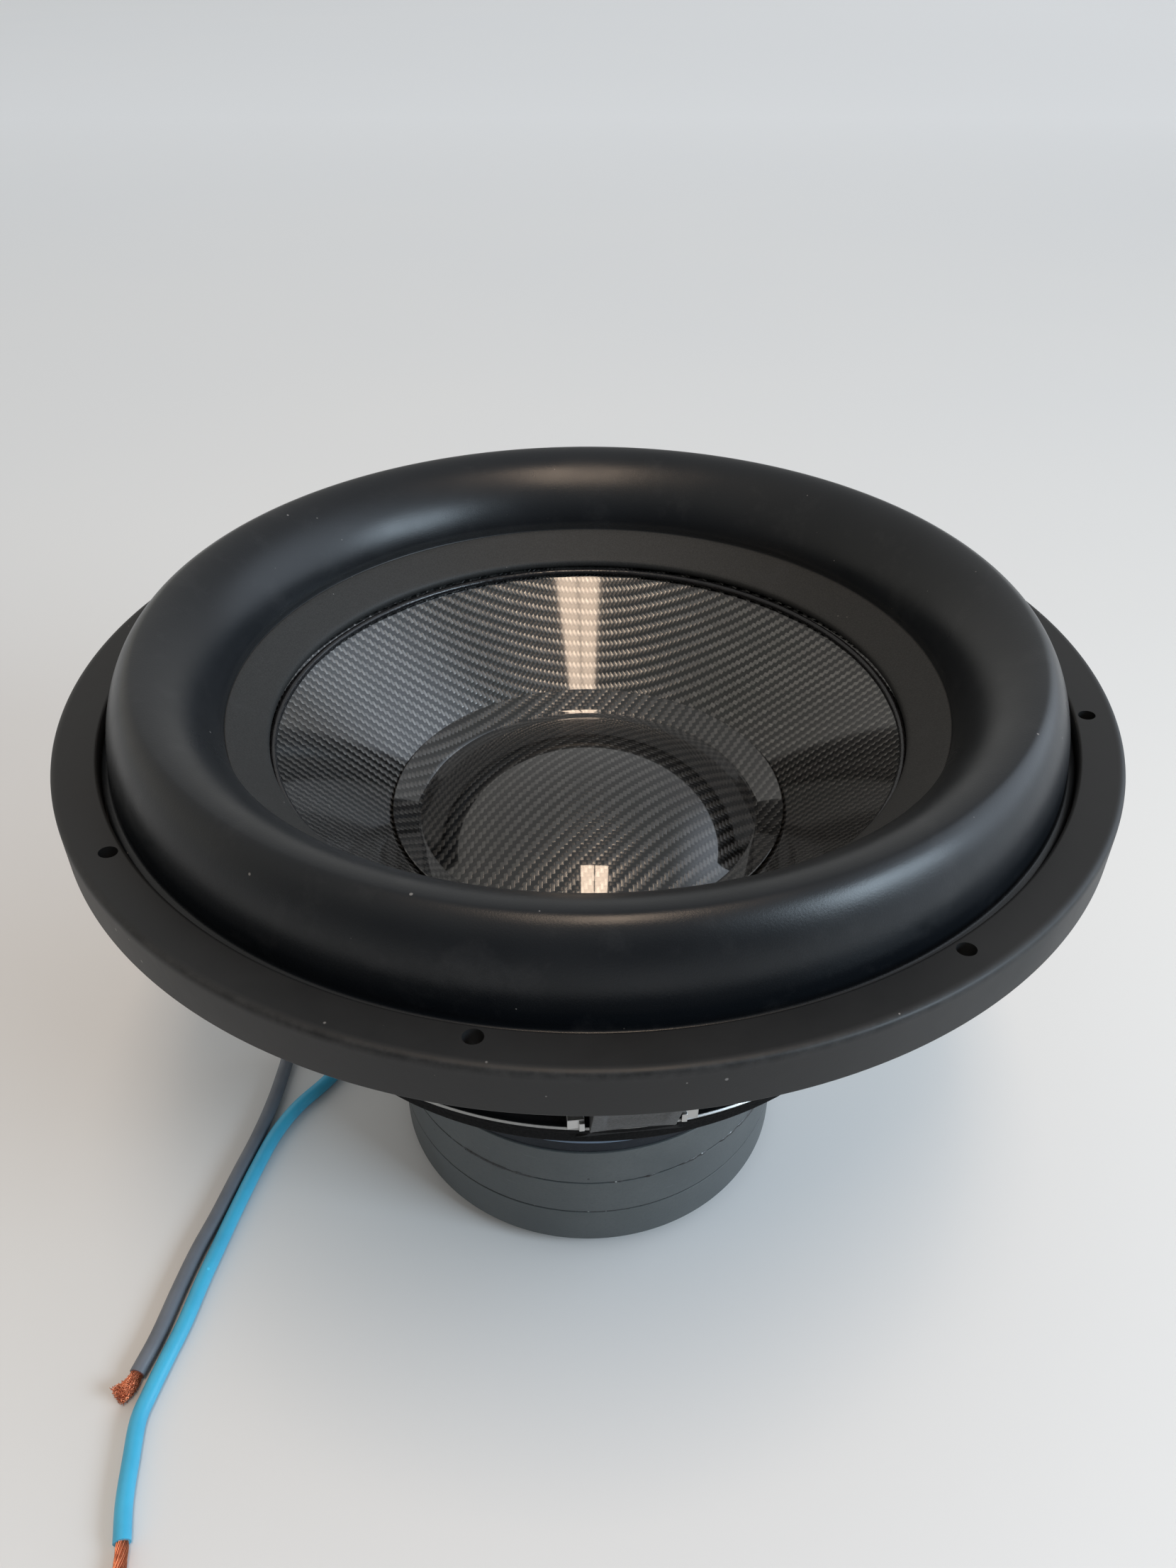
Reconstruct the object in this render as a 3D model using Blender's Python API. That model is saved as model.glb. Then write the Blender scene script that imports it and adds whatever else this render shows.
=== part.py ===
"""An 18 inch car subwoofer driver: cast basket, triple ferrite motor, carbon fibre cone, tall rubber
roll surround, twin spiders, dual-layer voice coil and two free lead wires with bare ends.

Units are metres.  The driver stands on its back plate at z = 0 and fires up +Z, its axis on the Z axis.
Heights (z) are measured from the floor and radii (r) from the axis.
"""

import math

import bmesh
import bpy
from mathutils import Vector

MM = 0.001
GAP = 0.3 * MM  # clearance kept between neighbouring solids

# ---------------------------------------------------------------- driving dimensions
BOLT_COUNT = 8
BOLT_CIRCLE_R = 222.3 * MM
BOLT_FIRST_DEG = -9.4
SPOKE_COUNT = 8
SPOKE_FIRST_DEG = -83.6
SPOKE_WIDTH = 40 * MM
BLOCK_DEG = 160.5  # bearing of the terminal block, in the window at 163.9 degrees

GASKET_OUT_R = 235 * MM
GASKET_IN_R = 216.7 * MM
GASKET_BOTTOM = 278.0 * MM
GASKET_TOP = 298.6 * MM
GASKET_HOLE_R = 3.6 * MM

FLANGE_OUT_R = 231.5 * MM
FLANGE_IN_R = 206 * MM
FLANGE_BOTTOM = 278.2 * MM
FLANGE_TOP = 285.0 * MM
SEAT_OUT_R = 216.3 * MM
SEAT_IN_R = 203 * MM
SEAT_TOP = 287.6 * MM
FLANGE_HOLE_R = 3.5 * MM

SHELF_OUT_R = 168 * MM
SHELF_WALL_R = 157.7 * MM
SHELF_WALL = 2.8 * MM
SHELF_IN_R = 138 * MM
SHELF_RIM_TOP = 182 * MM
SHELF_RIM_BOTTOM = 179 * MM
LANDING_TOP = 166 * MM
LANDING_BOTTOM = 161 * MM

FOOT_IN_R = 87.5 * MM
FOOT_OUT_R = 105 * MM
FOOT_BOTTOM = 91.5 * MM
FOOT_TOP = 99.5 * MM
PAD_TOP = 98.6 * MM  # machined pads under the screw heads, between the legs
FOOT_SCREW_R = 96 * MM
SCREW_HOLE_R = 3.0 * MM
SCREW_SHANK_R = 2.4 * MM
SCREW_HEAD_R = 4.4 * MM
SCREW_HEAD_HEIGHT = 4.2 * MM
SCREW_TIP = 86.5 * MM

MAGNET_R = 108.8 * MM
MAGNET_BORE_R = 57 * MM
MAGNET_BOTTOMS = (7.8 * MM, 33.0 * MM, 58.2 * MM)
MAGNET_TOPS = (32.0 * MM, 57.2 * MM, 82.8 * MM)

PLATE_R = 108 * MM
PLATE_BORE_R = 55.4 * MM
PLATE_BOTTOM = 83.1 * MM
PLATE_RIM_TOP = 91.1 * MM
PLATE_LAND_R = 86.5 * MM
PLATE_LAND_TOP = 97.1 * MM

YOKE_R = 98 * MM
YOKE_PLATE_TOP = 7.5 * MM
YOKE_STEP_R = 56.5 * MM
YOKE_STEP_TOP = 14 * MM
POLE_R = 49.4 * MM
POLE_TOP = 98 * MM
VENT_R = 18 * MM
VENT_SEAT_R = 22 * MM
VENT_SEAT_DEPTH = 2 * MM

CONE_NECK_R = 52 * MM
CONE_RIM_R = 164 * MM
CONE_REF_R = 96.9 * MM  # the dust cap's outer edge, where the cone's height is CONE_REF_Z
CONE_REF_Z = 225.2 * MM
CONE_SLOPE = 0.9506
CONE_THICK_Z = 2.2 * MM  # measured straight down; 1.6 mm square to the wall

CAP_EDGE_R = 96.9 * MM
CAP_EDGE_Z = 227.1 * MM
DOME_R = 83.3 * MM
DOME_FOOT_Z = 219.7 * MM
DOME_RISE = 26.5 * MM
CAP_THICK = 1.2 * MM

FORMER_IN_R = 50.4 * MM
FORMER_OUT_R = 51.2 * MM
FORMER_BOTTOM = 56 * MM
FORMER_TOP = 188 * MM
WINDING_BOTTOM = 58 * MM
WINDING_TOP = 118 * MM
WINDING_LAYERS = ((51.5 * MM, 52.6 * MM), (52.9 * MM, 54.0 * MM))

LIP_IN_R = 147.5 * MM
LIP_IN_TOP = 281.3 * MM
LIP_IN_BOTTOM = 277.5 * MM
ROLL_IN_R = 165 * MM
ROLL_FOOT_Z = 293.5 * MM
ROLL_CREST_R = 196.3 * MM
ROLL_OUT_R = 212.4 * MM
ROLL_RISE = 36.3 * MM
ROLL_WALL = 3.2 * MM
ROLL_FULLNESS = 1.77  # superellipse power: 2 is an ellipse, less is leaner
OUTER_LIP_R = 216.2 * MM
OUTER_LIP_TOP = 291.8 * MM
OUTER_LIP_BOTTOM = 287.9 * MM

SPIDER_IN_R = 51.6 * MM
SPIDER_OUT_R = 157 * MM
SPIDER_THICK = 1.2 * MM
SPIDER_WAVE_START_R = 61 * MM
SPIDER_WAVE_END_R = 134 * MM
SPIDER_WAVES = 4
SPIDER_WAVE_HEIGHT = 3 * MM
SPIDER_BOTTOMS = {"spider_lower": 166.3 * MM, "spider_upper": 176.3 * MM}

BLOCK_SIZE = (18 * MM, 46 * MM, 16 * MM)  # radial, along the rim, height
BLOCK_IN_R = 168.4 * MM
BLOCK_BOTTOM = 167 * MM
LUG_R = 178 * MM  # distance of the wire ferrules from the axis
LUG_SPACING = 22 * MM
FERRULE_R = 4.9 * MM
FERRULE_BOTTOM = 150 * MM

WIRE_R = 4 * MM
WIRE_STEP = 18 * MM
STRAND_R = 3.4 * MM
LEAD_R = 1.2 * MM

# Hand-chosen route points of the two lead wires, from the ferrules to the ends of their jackets.
GREY_ROUTE = [
    (-0.17146, 0.04904, 0.1497),
    (-0.1716, 0.0490, 0.130),
    (-0.1750, 0.0495, 0.100),
    (-0.1800, 0.0500, 0.070),
    (-0.1845, 0.0465, 0.038),
    (-0.1870, 0.0335, 0.0135),
    (-0.1879, 0.0152, 0.0045),
    (-0.1897, -0.0136, 0.0043),
    (-0.1936, -0.0406, 0.0043),
    (-0.1992, -0.0665, 0.0043),
    (-0.2046, -0.0926, 0.0043),
    (-0.2096, -0.1130, 0.0043),
    (-0.2135, -0.1350, 0.0043),
    (-0.2173, -0.1607, 0.0043),
    (-0.2218, -0.1796, 0.0043),
]
BLUE_ROUTE = [
    (-0.16412, 0.06978, 0.1497),
    (-0.1639, 0.0700, 0.130),
    (-0.1588, 0.0705, 0.095),
    (-0.1520, 0.0665, 0.060),
    (-0.1470, 0.0565, 0.030),
    (-0.1455, 0.0410, 0.0120),
    (-0.1490, 0.0220, 0.0046),
    (-0.1590, 0.0015, 0.0043),
    (-0.1741, -0.0192, 0.0043),
    (-0.1834, -0.0390, 0.0043),
    (-0.1894, -0.0622, 0.0043),
    (-0.1952, -0.0908, 0.0043),
    (-0.1986, -0.1096, 0.0043),
    (-0.2024, -0.1312, 0.0043),
    (-0.2056, -0.1539, 0.0043),
    (-0.2093, -0.1714, 0.0043),
    (-0.2127, -0.1885, 0.0043),
    (-0.2146, -0.2015, 0.0043),
    (-0.2127, -0.2184, 0.0043),
    (-0.2100, -0.2375, 0.0043),
    (-0.2058, -0.2542, 0.0043),
]
# Bare strands: from just past each jacket to the cut end.
GREY_STRANDS = [(-0.2221, -0.1806, 0.0043), (-0.2238, -0.1858, 0.0043), (-0.2285, -0.1913, 0.0043)]
BLUE_STRANDS = [(-0.2056, -0.2552, 0.0043), (-0.2041, -0.2620, 0.0043), (-0.2030, -0.2720, 0.0043)]

FINE = 64  # segments of the largest rings
MEDIUM = 48
COARSE = 36


# ---------------------------------------------------------------- helpers
def clear_scene():
    for obj in list(bpy.data.objects):
        bpy.data.objects.remove(obj, do_unlink=True)


def material(name, colour, roughness, metallic=0.0):
    mat = bpy.data.materials.new(name)
    mat.use_nodes = True
    shader = mat.node_tree.nodes["Principled BSDF"]
    shader.inputs["Base Color"].default_value = (*colour, 1.0)
    shader.inputs["Roughness"].default_value = roughness
    shader.inputs["Metallic"].default_value = metallic
    return mat


def link(obj, mat=None):
    bpy.context.collection.objects.link(obj)
    if mat is not None:
        obj.data.materials.append(mat)
    return obj


def hide_as_guide(obj):
    obj.hide_render = True
    obj.display_type = "WIRE"
    return obj


def polar(radius, degrees, z=0.0):
    angle = math.radians(degrees)
    return Vector((radius * math.cos(angle), radius * math.sin(angle), z))


def turned(name, outline, segments, mat=None):
    """A closed outline of (r, z) points turned once round the Z axis; the origin is at its lowest point."""
    foot = min(z for _, z in outline)
    bm = bmesh.new()
    verts = [bm.verts.new((r, 0.0, z - foot)) for r, z in outline]
    pairs = list(zip(verts, verts[1:] + verts[:1]))
    edges = [bm.edges.new(pair) for pair in pairs if max(pair[0].co.x, pair[1].co.x) > 0.0]
    bmesh.ops.spin(
        bm,
        geom=verts + edges,
        cent=(0, 0, 0),
        axis=(0, 0, 1),
        angle=math.tau,
        steps=segments,
        use_merge=True,
    )
    bmesh.ops.remove_doubles(bm, verts=bm.verts, dist=1e-6)
    bmesh.ops.recalc_face_normals(bm, faces=bm.faces)
    mesh = bpy.data.meshes.new(name)
    bm.to_mesh(mesh)
    bm.free()
    mesh.shade_smooth()
    mesh.set_sharp_from_angle(angle=math.radians(35))
    obj = bpy.data.objects.new(name, mesh)
    obj.location.z = foot
    return link(obj, mat)


def ring(name, r_in, r_out, bottom, top, segments, mat=None):
    return turned(name, [(r_in, top), (r_in, bottom), (r_out, bottom), (r_out, top)], segments, mat)


def prism(name, outline, half_width, mat=None):
    """An outline of (x, z) points extruded from -half_width to +half_width along Y."""
    bm = bmesh.new()
    face = bm.faces.new([bm.verts.new((x, -half_width, z)) for x, z in outline])
    extruded = bmesh.ops.extrude_face_region(bm, geom=[face])
    moved = [item for item in extruded["geom"] if isinstance(item, bmesh.types.BMVert)]
    bmesh.ops.translate(bm, verts=moved, vec=(0, 2 * half_width, 0))
    bmesh.ops.recalc_face_normals(bm, faces=bm.faces)
    mesh = bpy.data.meshes.new(name)
    bm.to_mesh(mesh)
    bm.free()
    return link(bpy.data.objects.new(name, mesh), mat)


def cylinder(name, radius, bottom, top, sides, mat=None):
    return turned(name, [(0.0, top), (0.0, bottom), (radius, bottom), (radius, top)], sides, mat)


def boolean(obj, operand, operation):
    mod = obj.modifiers.new(operation.lower(), "BOOLEAN")
    mod.operation = operation
    mod.solver = "EXACT"
    if isinstance(operand, bpy.types.Collection):
        mod.operand_type = "COLLECTION"
        mod.collection = operand
    else:
        mod.object = operand


def triangulate(obj):
    """Flat triangles only, which the exact Boolean needs."""
    bm = bmesh.new()
    bm.from_mesh(obj.data)
    bmesh.ops.triangulate(bm, faces=bm.faces)
    bm.to_mesh(obj.data)
    bm.free()


def gather(name, objects):
    """Moves guide objects into a collection of their own, for Booleans."""
    group = bpy.data.collections.new(name)
    bpy.context.scene.collection.children.link(group)
    for obj in objects:
        triangulate(obj)
        bpy.context.collection.objects.unlink(obj)
        group.objects.link(obj)
        hide_as_guide(obj)
    return group


def hole_cutters(name, count, first_deg, circle_r, hole_r, bottom, top, sides=12):
    cutters = []
    for index in range(count):
        cutter = cylinder(f"{name}_{index + 1}", hole_r, bottom, top, sides)
        cutter.location += polar(circle_r, first_deg + index * 360 / count)
        cutters.append(cutter)
    return gather(name, cutters)


def smooth_route(points, step):
    """Points about one step apart along a Catmull-Rom curve through the given ones."""
    knots = [Vector(p) for p in points]
    knots = [2 * knots[0] - knots[1]] + knots + [2 * knots[-1] - knots[-2]]
    dense = []
    for before, start, end, after in zip(knots, knots[1:], knots[2:], knots[3:]):
        for share in (i / 24 for i in range(24)):
            cubic = -before + 3 * start - 3 * end + after
            square = 2 * before - 5 * start + 4 * end - after
            dense.append(0.5 * (2 * start + share * (end - before) + share**2 * square + share**3 * cubic))
    dense.append(knots[-2])
    travelled = [0.0]
    for a, b in zip(dense, dense[1:]):
        travelled.append(travelled[-1] + (b - a).length)
    count = max(2, round(travelled[-1] / step))
    route = [dense[0]]
    for index in range(1, count):
        wanted = travelled[-1] * index / count
        at = next(i for i, t in enumerate(travelled) if t >= wanted)
        share = (wanted - travelled[at - 1]) / (travelled[at] - travelled[at - 1])
        route.append(dense[at - 1].lerp(dense[at], share))
    route.append(dense[-1])
    return route


def tube(name, points, radius, mat, resolution=2):
    curve = bpy.data.curves.new(name, "CURVE")
    curve.dimensions = "3D"
    curve.bevel_depth = radius
    curve.bevel_resolution = resolution
    curve.use_fill_caps = True
    spline = curve.splines.new("POLY")
    spline.points.add(len(points) - 1)
    origin = Vector(points[0])
    for point, place in zip(spline.points, points):
        point.co = (*(Vector(place) - origin), 1.0)
    obj = bpy.data.objects.new(name, curve)
    obj.location = origin
    return link(obj, mat)


# ---------------------------------------------------------------- materials
RUBBER = material("gasket_rubber", (0.030, 0.031, 0.033), 0.55)
FOAM = material("surround_rubber", (0.028, 0.030, 0.034), 0.50)
ALLOY = material("basket_alloy", (0.035, 0.036, 0.038), 0.45, 0.4)
STEEL = material("plate_steel", (0.020, 0.024, 0.032), 0.25, 0.6)
FERRITE = material("magnet_ferrite", (0.090, 0.093, 0.096), 0.55)
GLUE = material("black_adhesive", (0.008, 0.008, 0.009), 0.20)
COPPER = material("bare_copper", (0.62, 0.25, 0.14), 0.35, 1.0)
ALUMINIUM = material("shorting_aluminium", (0.75, 0.76, 0.78), 0.35, 1.0)
CARBON = material("carbon_fibre", (0.045, 0.045, 0.047), 0.15)
SPIDER = material("spider_cloth", (0.045, 0.042, 0.038), 0.85)
FORMER = material("former_film", (0.28, 0.17, 0.05), 0.40)
PLASTIC = material("terminal_plastic", (0.015, 0.015, 0.016), 0.45)
PLATED = material("plated_steel", (0.55, 0.56, 0.58), 0.30, 1.0)
GREY_PVC = material("grey_jacket", (0.100, 0.105, 0.115), 0.40)
BLUE_PVC = material("blue_jacket", (0.060, 0.420, 0.600), 0.35)
TINSEL = material("tinsel_braid", (0.60, 0.58, 0.55), 0.45, 0.8)


# ---------------------------------------------------------------- chassis
def make_gasket():
    land_inner_top = GASKET_TOP - 1.4 * MM
    skirt_in_r = FLANGE_OUT_R + 0.4 * MM
    outline = [
        (GASKET_IN_R, FLANGE_TOP + GAP),
        (skirt_in_r, FLANGE_TOP + GAP),
        (skirt_in_r, GASKET_BOTTOM),
        (GASKET_OUT_R, GASKET_BOTTOM),
        (GASKET_OUT_R, GASKET_TOP - 2.4 * MM),
        (GASKET_OUT_R - 0.7 * MM, GASKET_TOP - 0.7 * MM),
        (GASKET_OUT_R - 2.4 * MM, GASKET_TOP),
        (GASKET_IN_R + 0.7 * MM, land_inner_top),
        (GASKET_IN_R, land_inner_top - 0.7 * MM),
    ]
    gasket = turned("gasket_ring", outline, FINE, RUBBER)
    cutters = hole_cutters(
        "gasket_holes",
        BOLT_COUNT,
        BOLT_FIRST_DEG,
        BOLT_CIRCLE_R,
        GASKET_HOLE_R,
        GASKET_BOTTOM - 5 * MM,
        GASKET_TOP + 5 * MM,
    )
    boolean(gasket, cutters, "DIFFERENCE")


def window_cutter(name, index, reach, heights):
    """A flat-sided wedge that leaves a spoke's width of metal on either side of itself."""
    half_step = math.pi / SPOKE_COUNT
    near, far = reach
    low, high = heights
    sides = [r * math.tan(half_step) - SPOKE_WIDTH / 2 / math.cos(half_step) for r in reach]
    plan = [(near, -sides[0]), (far, -sides[1]), (far, sides[1]), (near, sides[0])]
    bm = bmesh.new()
    face = bm.faces.new([bm.verts.new((x, y, low)) for x, y in plan])
    extruded = bmesh.ops.extrude_face_region(bm, geom=[face])
    moved = [item for item in extruded["geom"] if isinstance(item, bmesh.types.BMVert)]
    bmesh.ops.translate(bm, verts=moved, vec=(0, 0, high - low))
    bmesh.ops.recalc_face_normals(bm, faces=bm.faces)
    mesh = bpy.data.meshes.new(name)
    bm.to_mesh(mesh)
    bm.free()
    cutter = link(bpy.data.objects.new(f"{name}_{index + 1}", mesh))
    cutter.rotation_euler.z = math.radians(foot_screw_deg(index))
    return cutter


def make_basket():
    """One casting: flange, surround seat, upper spokes, spider shelf, lower legs and foot ring."""
    outline = [
        (SEAT_IN_R, SEAT_TOP),
        (SEAT_IN_R, FLANGE_BOTTOM + 5 * MM),
        (SHELF_WALL_R, SHELF_RIM_TOP),
        (SHELF_WALL_R, LANDING_TOP),
        (SHELF_IN_R, LANDING_TOP),
        (SHELF_IN_R, LANDING_BOTTOM),
        (SHELF_IN_R + 6 * MM, LANDING_BOTTOM),
        (FOOT_IN_R + 6.5 * MM, FOOT_TOP),
        (FOOT_IN_R, FOOT_TOP),
        (FOOT_IN_R, FOOT_BOTTOM),
        (FOOT_OUT_R, FOOT_BOTTOM),
        (FOOT_OUT_R, FOOT_TOP - 2 * MM),
        (SHELF_WALL_R - 6 * MM, LANDING_BOTTOM),
        (SHELF_WALL_R + SHELF_WALL - 1.7 * MM, LANDING_BOTTOM),
        (SHELF_WALL_R + SHELF_WALL, LANDING_BOTTOM + 2 * MM),
        (SHELF_WALL_R + SHELF_WALL, SHELF_RIM_BOTTOM - 3 * MM),
        (SHELF_OUT_R, SHELF_RIM_BOTTOM),
        (SHELF_OUT_R, SHELF_RIM_TOP),
        (FLANGE_IN_R + 6.5 * MM, FLANGE_BOTTOM),
        (FLANGE_OUT_R, FLANGE_BOTTOM),
        (FLANGE_OUT_R, FLANGE_TOP),
        (SEAT_OUT_R, FLANGE_TOP),
        (SEAT_OUT_R, SEAT_TOP),
    ]
    basket = turned("basket", outline, FINE, ALLOY)
    triangulate(basket)
    windows = []
    for index in range(SPOKE_COUNT):
        upper = ((150 * MM, 240 * MM), (SHELF_RIM_TOP + 2 * MM, FLANGE_BOTTOM - 8 * MM))
        lower = ((85 * MM, 172 * MM), (PAD_TOP, LANDING_BOTTOM - 3 * MM))
        windows.append(window_cutter("upper_window", index, *upper))
        windows.append(window_cutter("lower_window", index, *lower))
    boolean(basket, gather("basket_windows", windows), "DIFFERENCE")
    flange_holes = hole_cutters(
        "flange_holes",
        BOLT_COUNT,
        BOLT_FIRST_DEG,
        BOLT_CIRCLE_R,
        FLANGE_HOLE_R,
        FLANGE_BOTTOM - 5 * MM,
        FLANGE_TOP + 5 * MM,
    )
    boolean(basket, flange_holes, "DIFFERENCE")
    foot_holes = hole_cutters(
        "foot_holes",
        SPOKE_COUNT,
        foot_screw_deg(0),
        FOOT_SCREW_R,
        SCREW_HOLE_R,
        FOOT_BOTTOM - 3 * MM,
        FOOT_TOP + 3 * MM,
        8,
    )
    boolean(basket, foot_holes, "DIFFERENCE")


def foot_screw_deg(index):
    """The foot screws stand half way between the spokes."""
    return SPOKE_FIRST_DEG + (index + 0.5) * 360 / SPOKE_COUNT


def make_foot_screws():
    seat = PAD_TOP + GAP
    socket_r = 2.0 * MM
    outline = [
        (0.0, seat + SCREW_HEAD_HEIGHT - 2 * MM),
        (0.0, SCREW_TIP),
        (SCREW_SHANK_R, SCREW_TIP),
        (SCREW_SHANK_R, seat),
        (SCREW_HEAD_R, seat),
        (SCREW_HEAD_R, seat + SCREW_HEAD_HEIGHT),
        (socket_r, seat + SCREW_HEAD_HEIGHT),
        (socket_r, seat + SCREW_HEAD_HEIGHT - 2 * MM),
    ]
    for index in range(SPOKE_COUNT):
        screw = turned(f"foot_screw_{index + 1}", outline, 8, PLATED)
        screw.location += polar(FOOT_SCREW_R, foot_screw_deg(index))


def make_motor():
    names = ("magnet_ring_lower", "magnet_ring_middle", "magnet_ring_upper")
    for name, bottom, top in zip(names, MAGNET_BOTTOMS, MAGNET_TOPS):
        ring(name, MAGNET_BORE_R, MAGNET_R, bottom, top, MEDIUM, FERRITE)
    glue_names = ("magnet_glue_lower", "magnet_glue_upper")
    for name, below, above in zip(glue_names, MAGNET_TOPS, MAGNET_BOTTOMS[1:]):
        inner, outer = MAGNET_BORE_R + MM, MAGNET_R - 0.6 * MM
        ring(name, inner, outer, below + GAP, above - GAP, COARSE, GLUE)

    chamfer = 1.5 * MM
    plate_outline = [
        (PLATE_BORE_R, PLATE_LAND_TOP),
        (PLATE_BORE_R, PLATE_BOTTOM),
        (PLATE_R, PLATE_BOTTOM),
        (PLATE_R, PLATE_RIM_TOP - chamfer),
        (PLATE_R - chamfer, PLATE_RIM_TOP),
        (PLATE_LAND_R, PLATE_RIM_TOP),
        (PLATE_LAND_R, PLATE_LAND_TOP),
    ]
    plate = turned("top_plate", plate_outline, MEDIUM, STEEL)
    tapped = hole_cutters(
        "plate_holes",
        SPOKE_COUNT,
        foot_screw_deg(0),
        FOOT_SCREW_R,
        SCREW_HOLE_R,
        SCREW_TIP - MM,
        PLATE_RIM_TOP + 3 * MM,
        8,
    )
    boolean(plate, tapped, "DIFFERENCE")

    yoke_outline = [
        (VENT_R, POLE_TOP),
        (VENT_R, VENT_SEAT_DEPTH),
        (VENT_SEAT_R, VENT_SEAT_DEPTH),
        (VENT_SEAT_R, 0.0),
        (YOKE_R, 0.0),
        (YOKE_R, YOKE_PLATE_TOP),
        (YOKE_STEP_R, YOKE_PLATE_TOP),
        (YOKE_STEP_R, YOKE_STEP_TOP),
        (POLE_R, YOKE_STEP_TOP),
        (POLE_R, POLE_TOP),
    ]
    turned("back_plate_yoke", yoke_outline, MEDIUM, STEEL)
    shorting_out_r = PLATE_BORE_R + 0.4 * MM
    shorting_top = YOKE_STEP_TOP + 8 * MM
    ring(
        "shorting_ring", POLE_R + 0.4 * MM, shorting_out_r, YOKE_STEP_TOP + GAP, shorting_top, COARSE, ALUMINIUM
    )
    ring("pole_copper_cap", VENT_R + GAP, POLE_R, POLE_TOP + GAP, POLE_TOP + 1.5 * MM, COARSE, COPPER)
    cylinder("vent_screen", VENT_SEAT_R - 0.4 * MM, 0.4 * MM, VENT_SEAT_DEPTH - GAP, 32, PLATED)


def make_terminals():
    middle = BLOCK_DEG
    turn = math.radians(middle)
    depth, width, height = BLOCK_SIZE
    outline = [(0, 0), (depth, 0), (depth, height - 3 * MM), (depth - 3 * MM, height), (0, height)]
    block = prism("terminal_block", outline, width / 2, PLASTIC)
    block.location = polar(BLOCK_IN_R, middle, BLOCK_BOTTOM)
    block.rotation_euler.z = turn
    along_rim = polar(1.0, middle + 90)
    block_top = BLOCK_BOTTOM + height
    for name, side in (("grey", 1), ("blue", -1)):
        foot = polar(LUG_R, middle) + along_rim * (side * LUG_SPACING / 2)
        ferrule = cylinder(f"ferrule_{name}", FERRULE_R, FERRULE_BOTTOM, BLOCK_BOTTOM - GAP, 16, PLATED)
        ferrule.location += foot
        screw = cylinder(f"terminal_screw_{name}", 3.6 * MM, block_top + GAP, block_top + 4.4 * MM, 16, PLATED)
        screw.location += foot
    fixing = cylinder("terminal_fixing_screw", 3.4 * MM, 0.0, 2.6 * MM, 16, PLATED)
    fixing.location = polar(BLOCK_IN_R + depth + GAP, middle, BLOCK_BOTTOM + 6 * MM)
    fixing.rotation_euler = (0, math.pi / 2, turn)


# ---------------------------------------------------------------- suspension
def superellipse(share, half_width, height):
    """A point of the roll's arch: share 0 is its foot and 1 its crest; returns (reach, rise)."""
    angle = share * math.pi / 2
    power = 2 / ROLL_FULLNESS
    return half_width * math.cos(angle) ** power, height * math.sin(angle) ** power


def arch(inset, steps):
    """(r, z) points over the roll, from its inner foot over the crest to its outer foot."""
    inner = ROLL_CREST_R - ROLL_IN_R - inset
    outer = ROLL_OUT_R - ROLL_CREST_R - inset
    points = []
    for index in range(steps + 1):
        reach, rise = superellipse(index / steps, inner, ROLL_RISE - inset)
        points.append((ROLL_CREST_R - reach, ROLL_FOOT_Z + rise))
    for index in range(steps - 1, -1, -1):
        reach, rise = superellipse(index / steps, outer, ROLL_RISE - inset)
        points.append((ROLL_CREST_R + reach, ROLL_FOOT_Z + rise))
    return points


def make_surround():
    upper = [(LIP_IN_R, LIP_IN_TOP)] + arch(0.0, 5)
    upper += [(ROLL_OUT_R, OUTER_LIP_TOP), (OUTER_LIP_R, OUTER_LIP_TOP)]
    under = [(OUTER_LIP_R, OUTER_LIP_BOTTOM), (ROLL_OUT_R - 8 * MM, OUTER_LIP_BOTTOM)]
    under += list(reversed(arch(ROLL_WALL, 3)))
    under += [(ROLL_IN_R, 290.6 * MM), (LIP_IN_R, LIP_IN_BOTTOM)]
    turned("surround", list(reversed(upper + under)), MEDIUM, FOAM)


def spider_wave(r):
    """Height of the spider's corrugation at radius r, fading out to its flat inner and outer bands."""
    share = (r - SPIDER_WAVE_START_R) / (SPIDER_WAVE_END_R - SPIDER_WAVE_START_R)
    return SPIDER_WAVE_HEIGHT * math.sin(math.tau * SPIDER_WAVES * share) if 0 < share < 1 else 0.0


def make_spiders():
    samples = SPIDER_WAVES * 4
    span = SPIDER_WAVE_END_R - SPIDER_WAVE_START_R
    radii = [SPIDER_IN_R, SPIDER_WAVE_START_R]
    radii += [SPIDER_WAVE_START_R + span * (i + 0.5) / samples for i in range(1, samples, 2)]
    radii += [SPIDER_WAVE_END_R, SPIDER_OUT_R]
    for name, bottom in SPIDER_BOTTOMS.items():
        under = [(r, bottom + spider_wave(r)) for r in radii]
        upper = [(r, z + SPIDER_THICK) for r, z in under]
        turned(name, under + list(reversed(upper)), 40, SPIDER)
    lower_top = SPIDER_BOTTOMS["spider_lower"] + SPIDER_THICK
    ring(
        "spider_spacer_ring",
        SHELF_IN_R + 2 * MM,
        SPIDER_OUT_R,
        lower_top + GAP,
        SPIDER_BOTTOMS["spider_upper"] - GAP,
        MEDIUM,
        PLASTIC,
    )


# ---------------------------------------------------------------- moving assembly
def cone_height(r):
    return CONE_REF_Z + (r - CONE_REF_R) * CONE_SLOPE


def bead(name, r, z, radius, segments=COARSE):
    """A round line of adhesive, six-sided in section."""
    outline = [(r + radius * math.cos(i * math.tau / 6), z + radius * math.sin(i * math.tau / 6)) for i in range(6)]
    return turned(name, outline, segments, GLUE)


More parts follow.
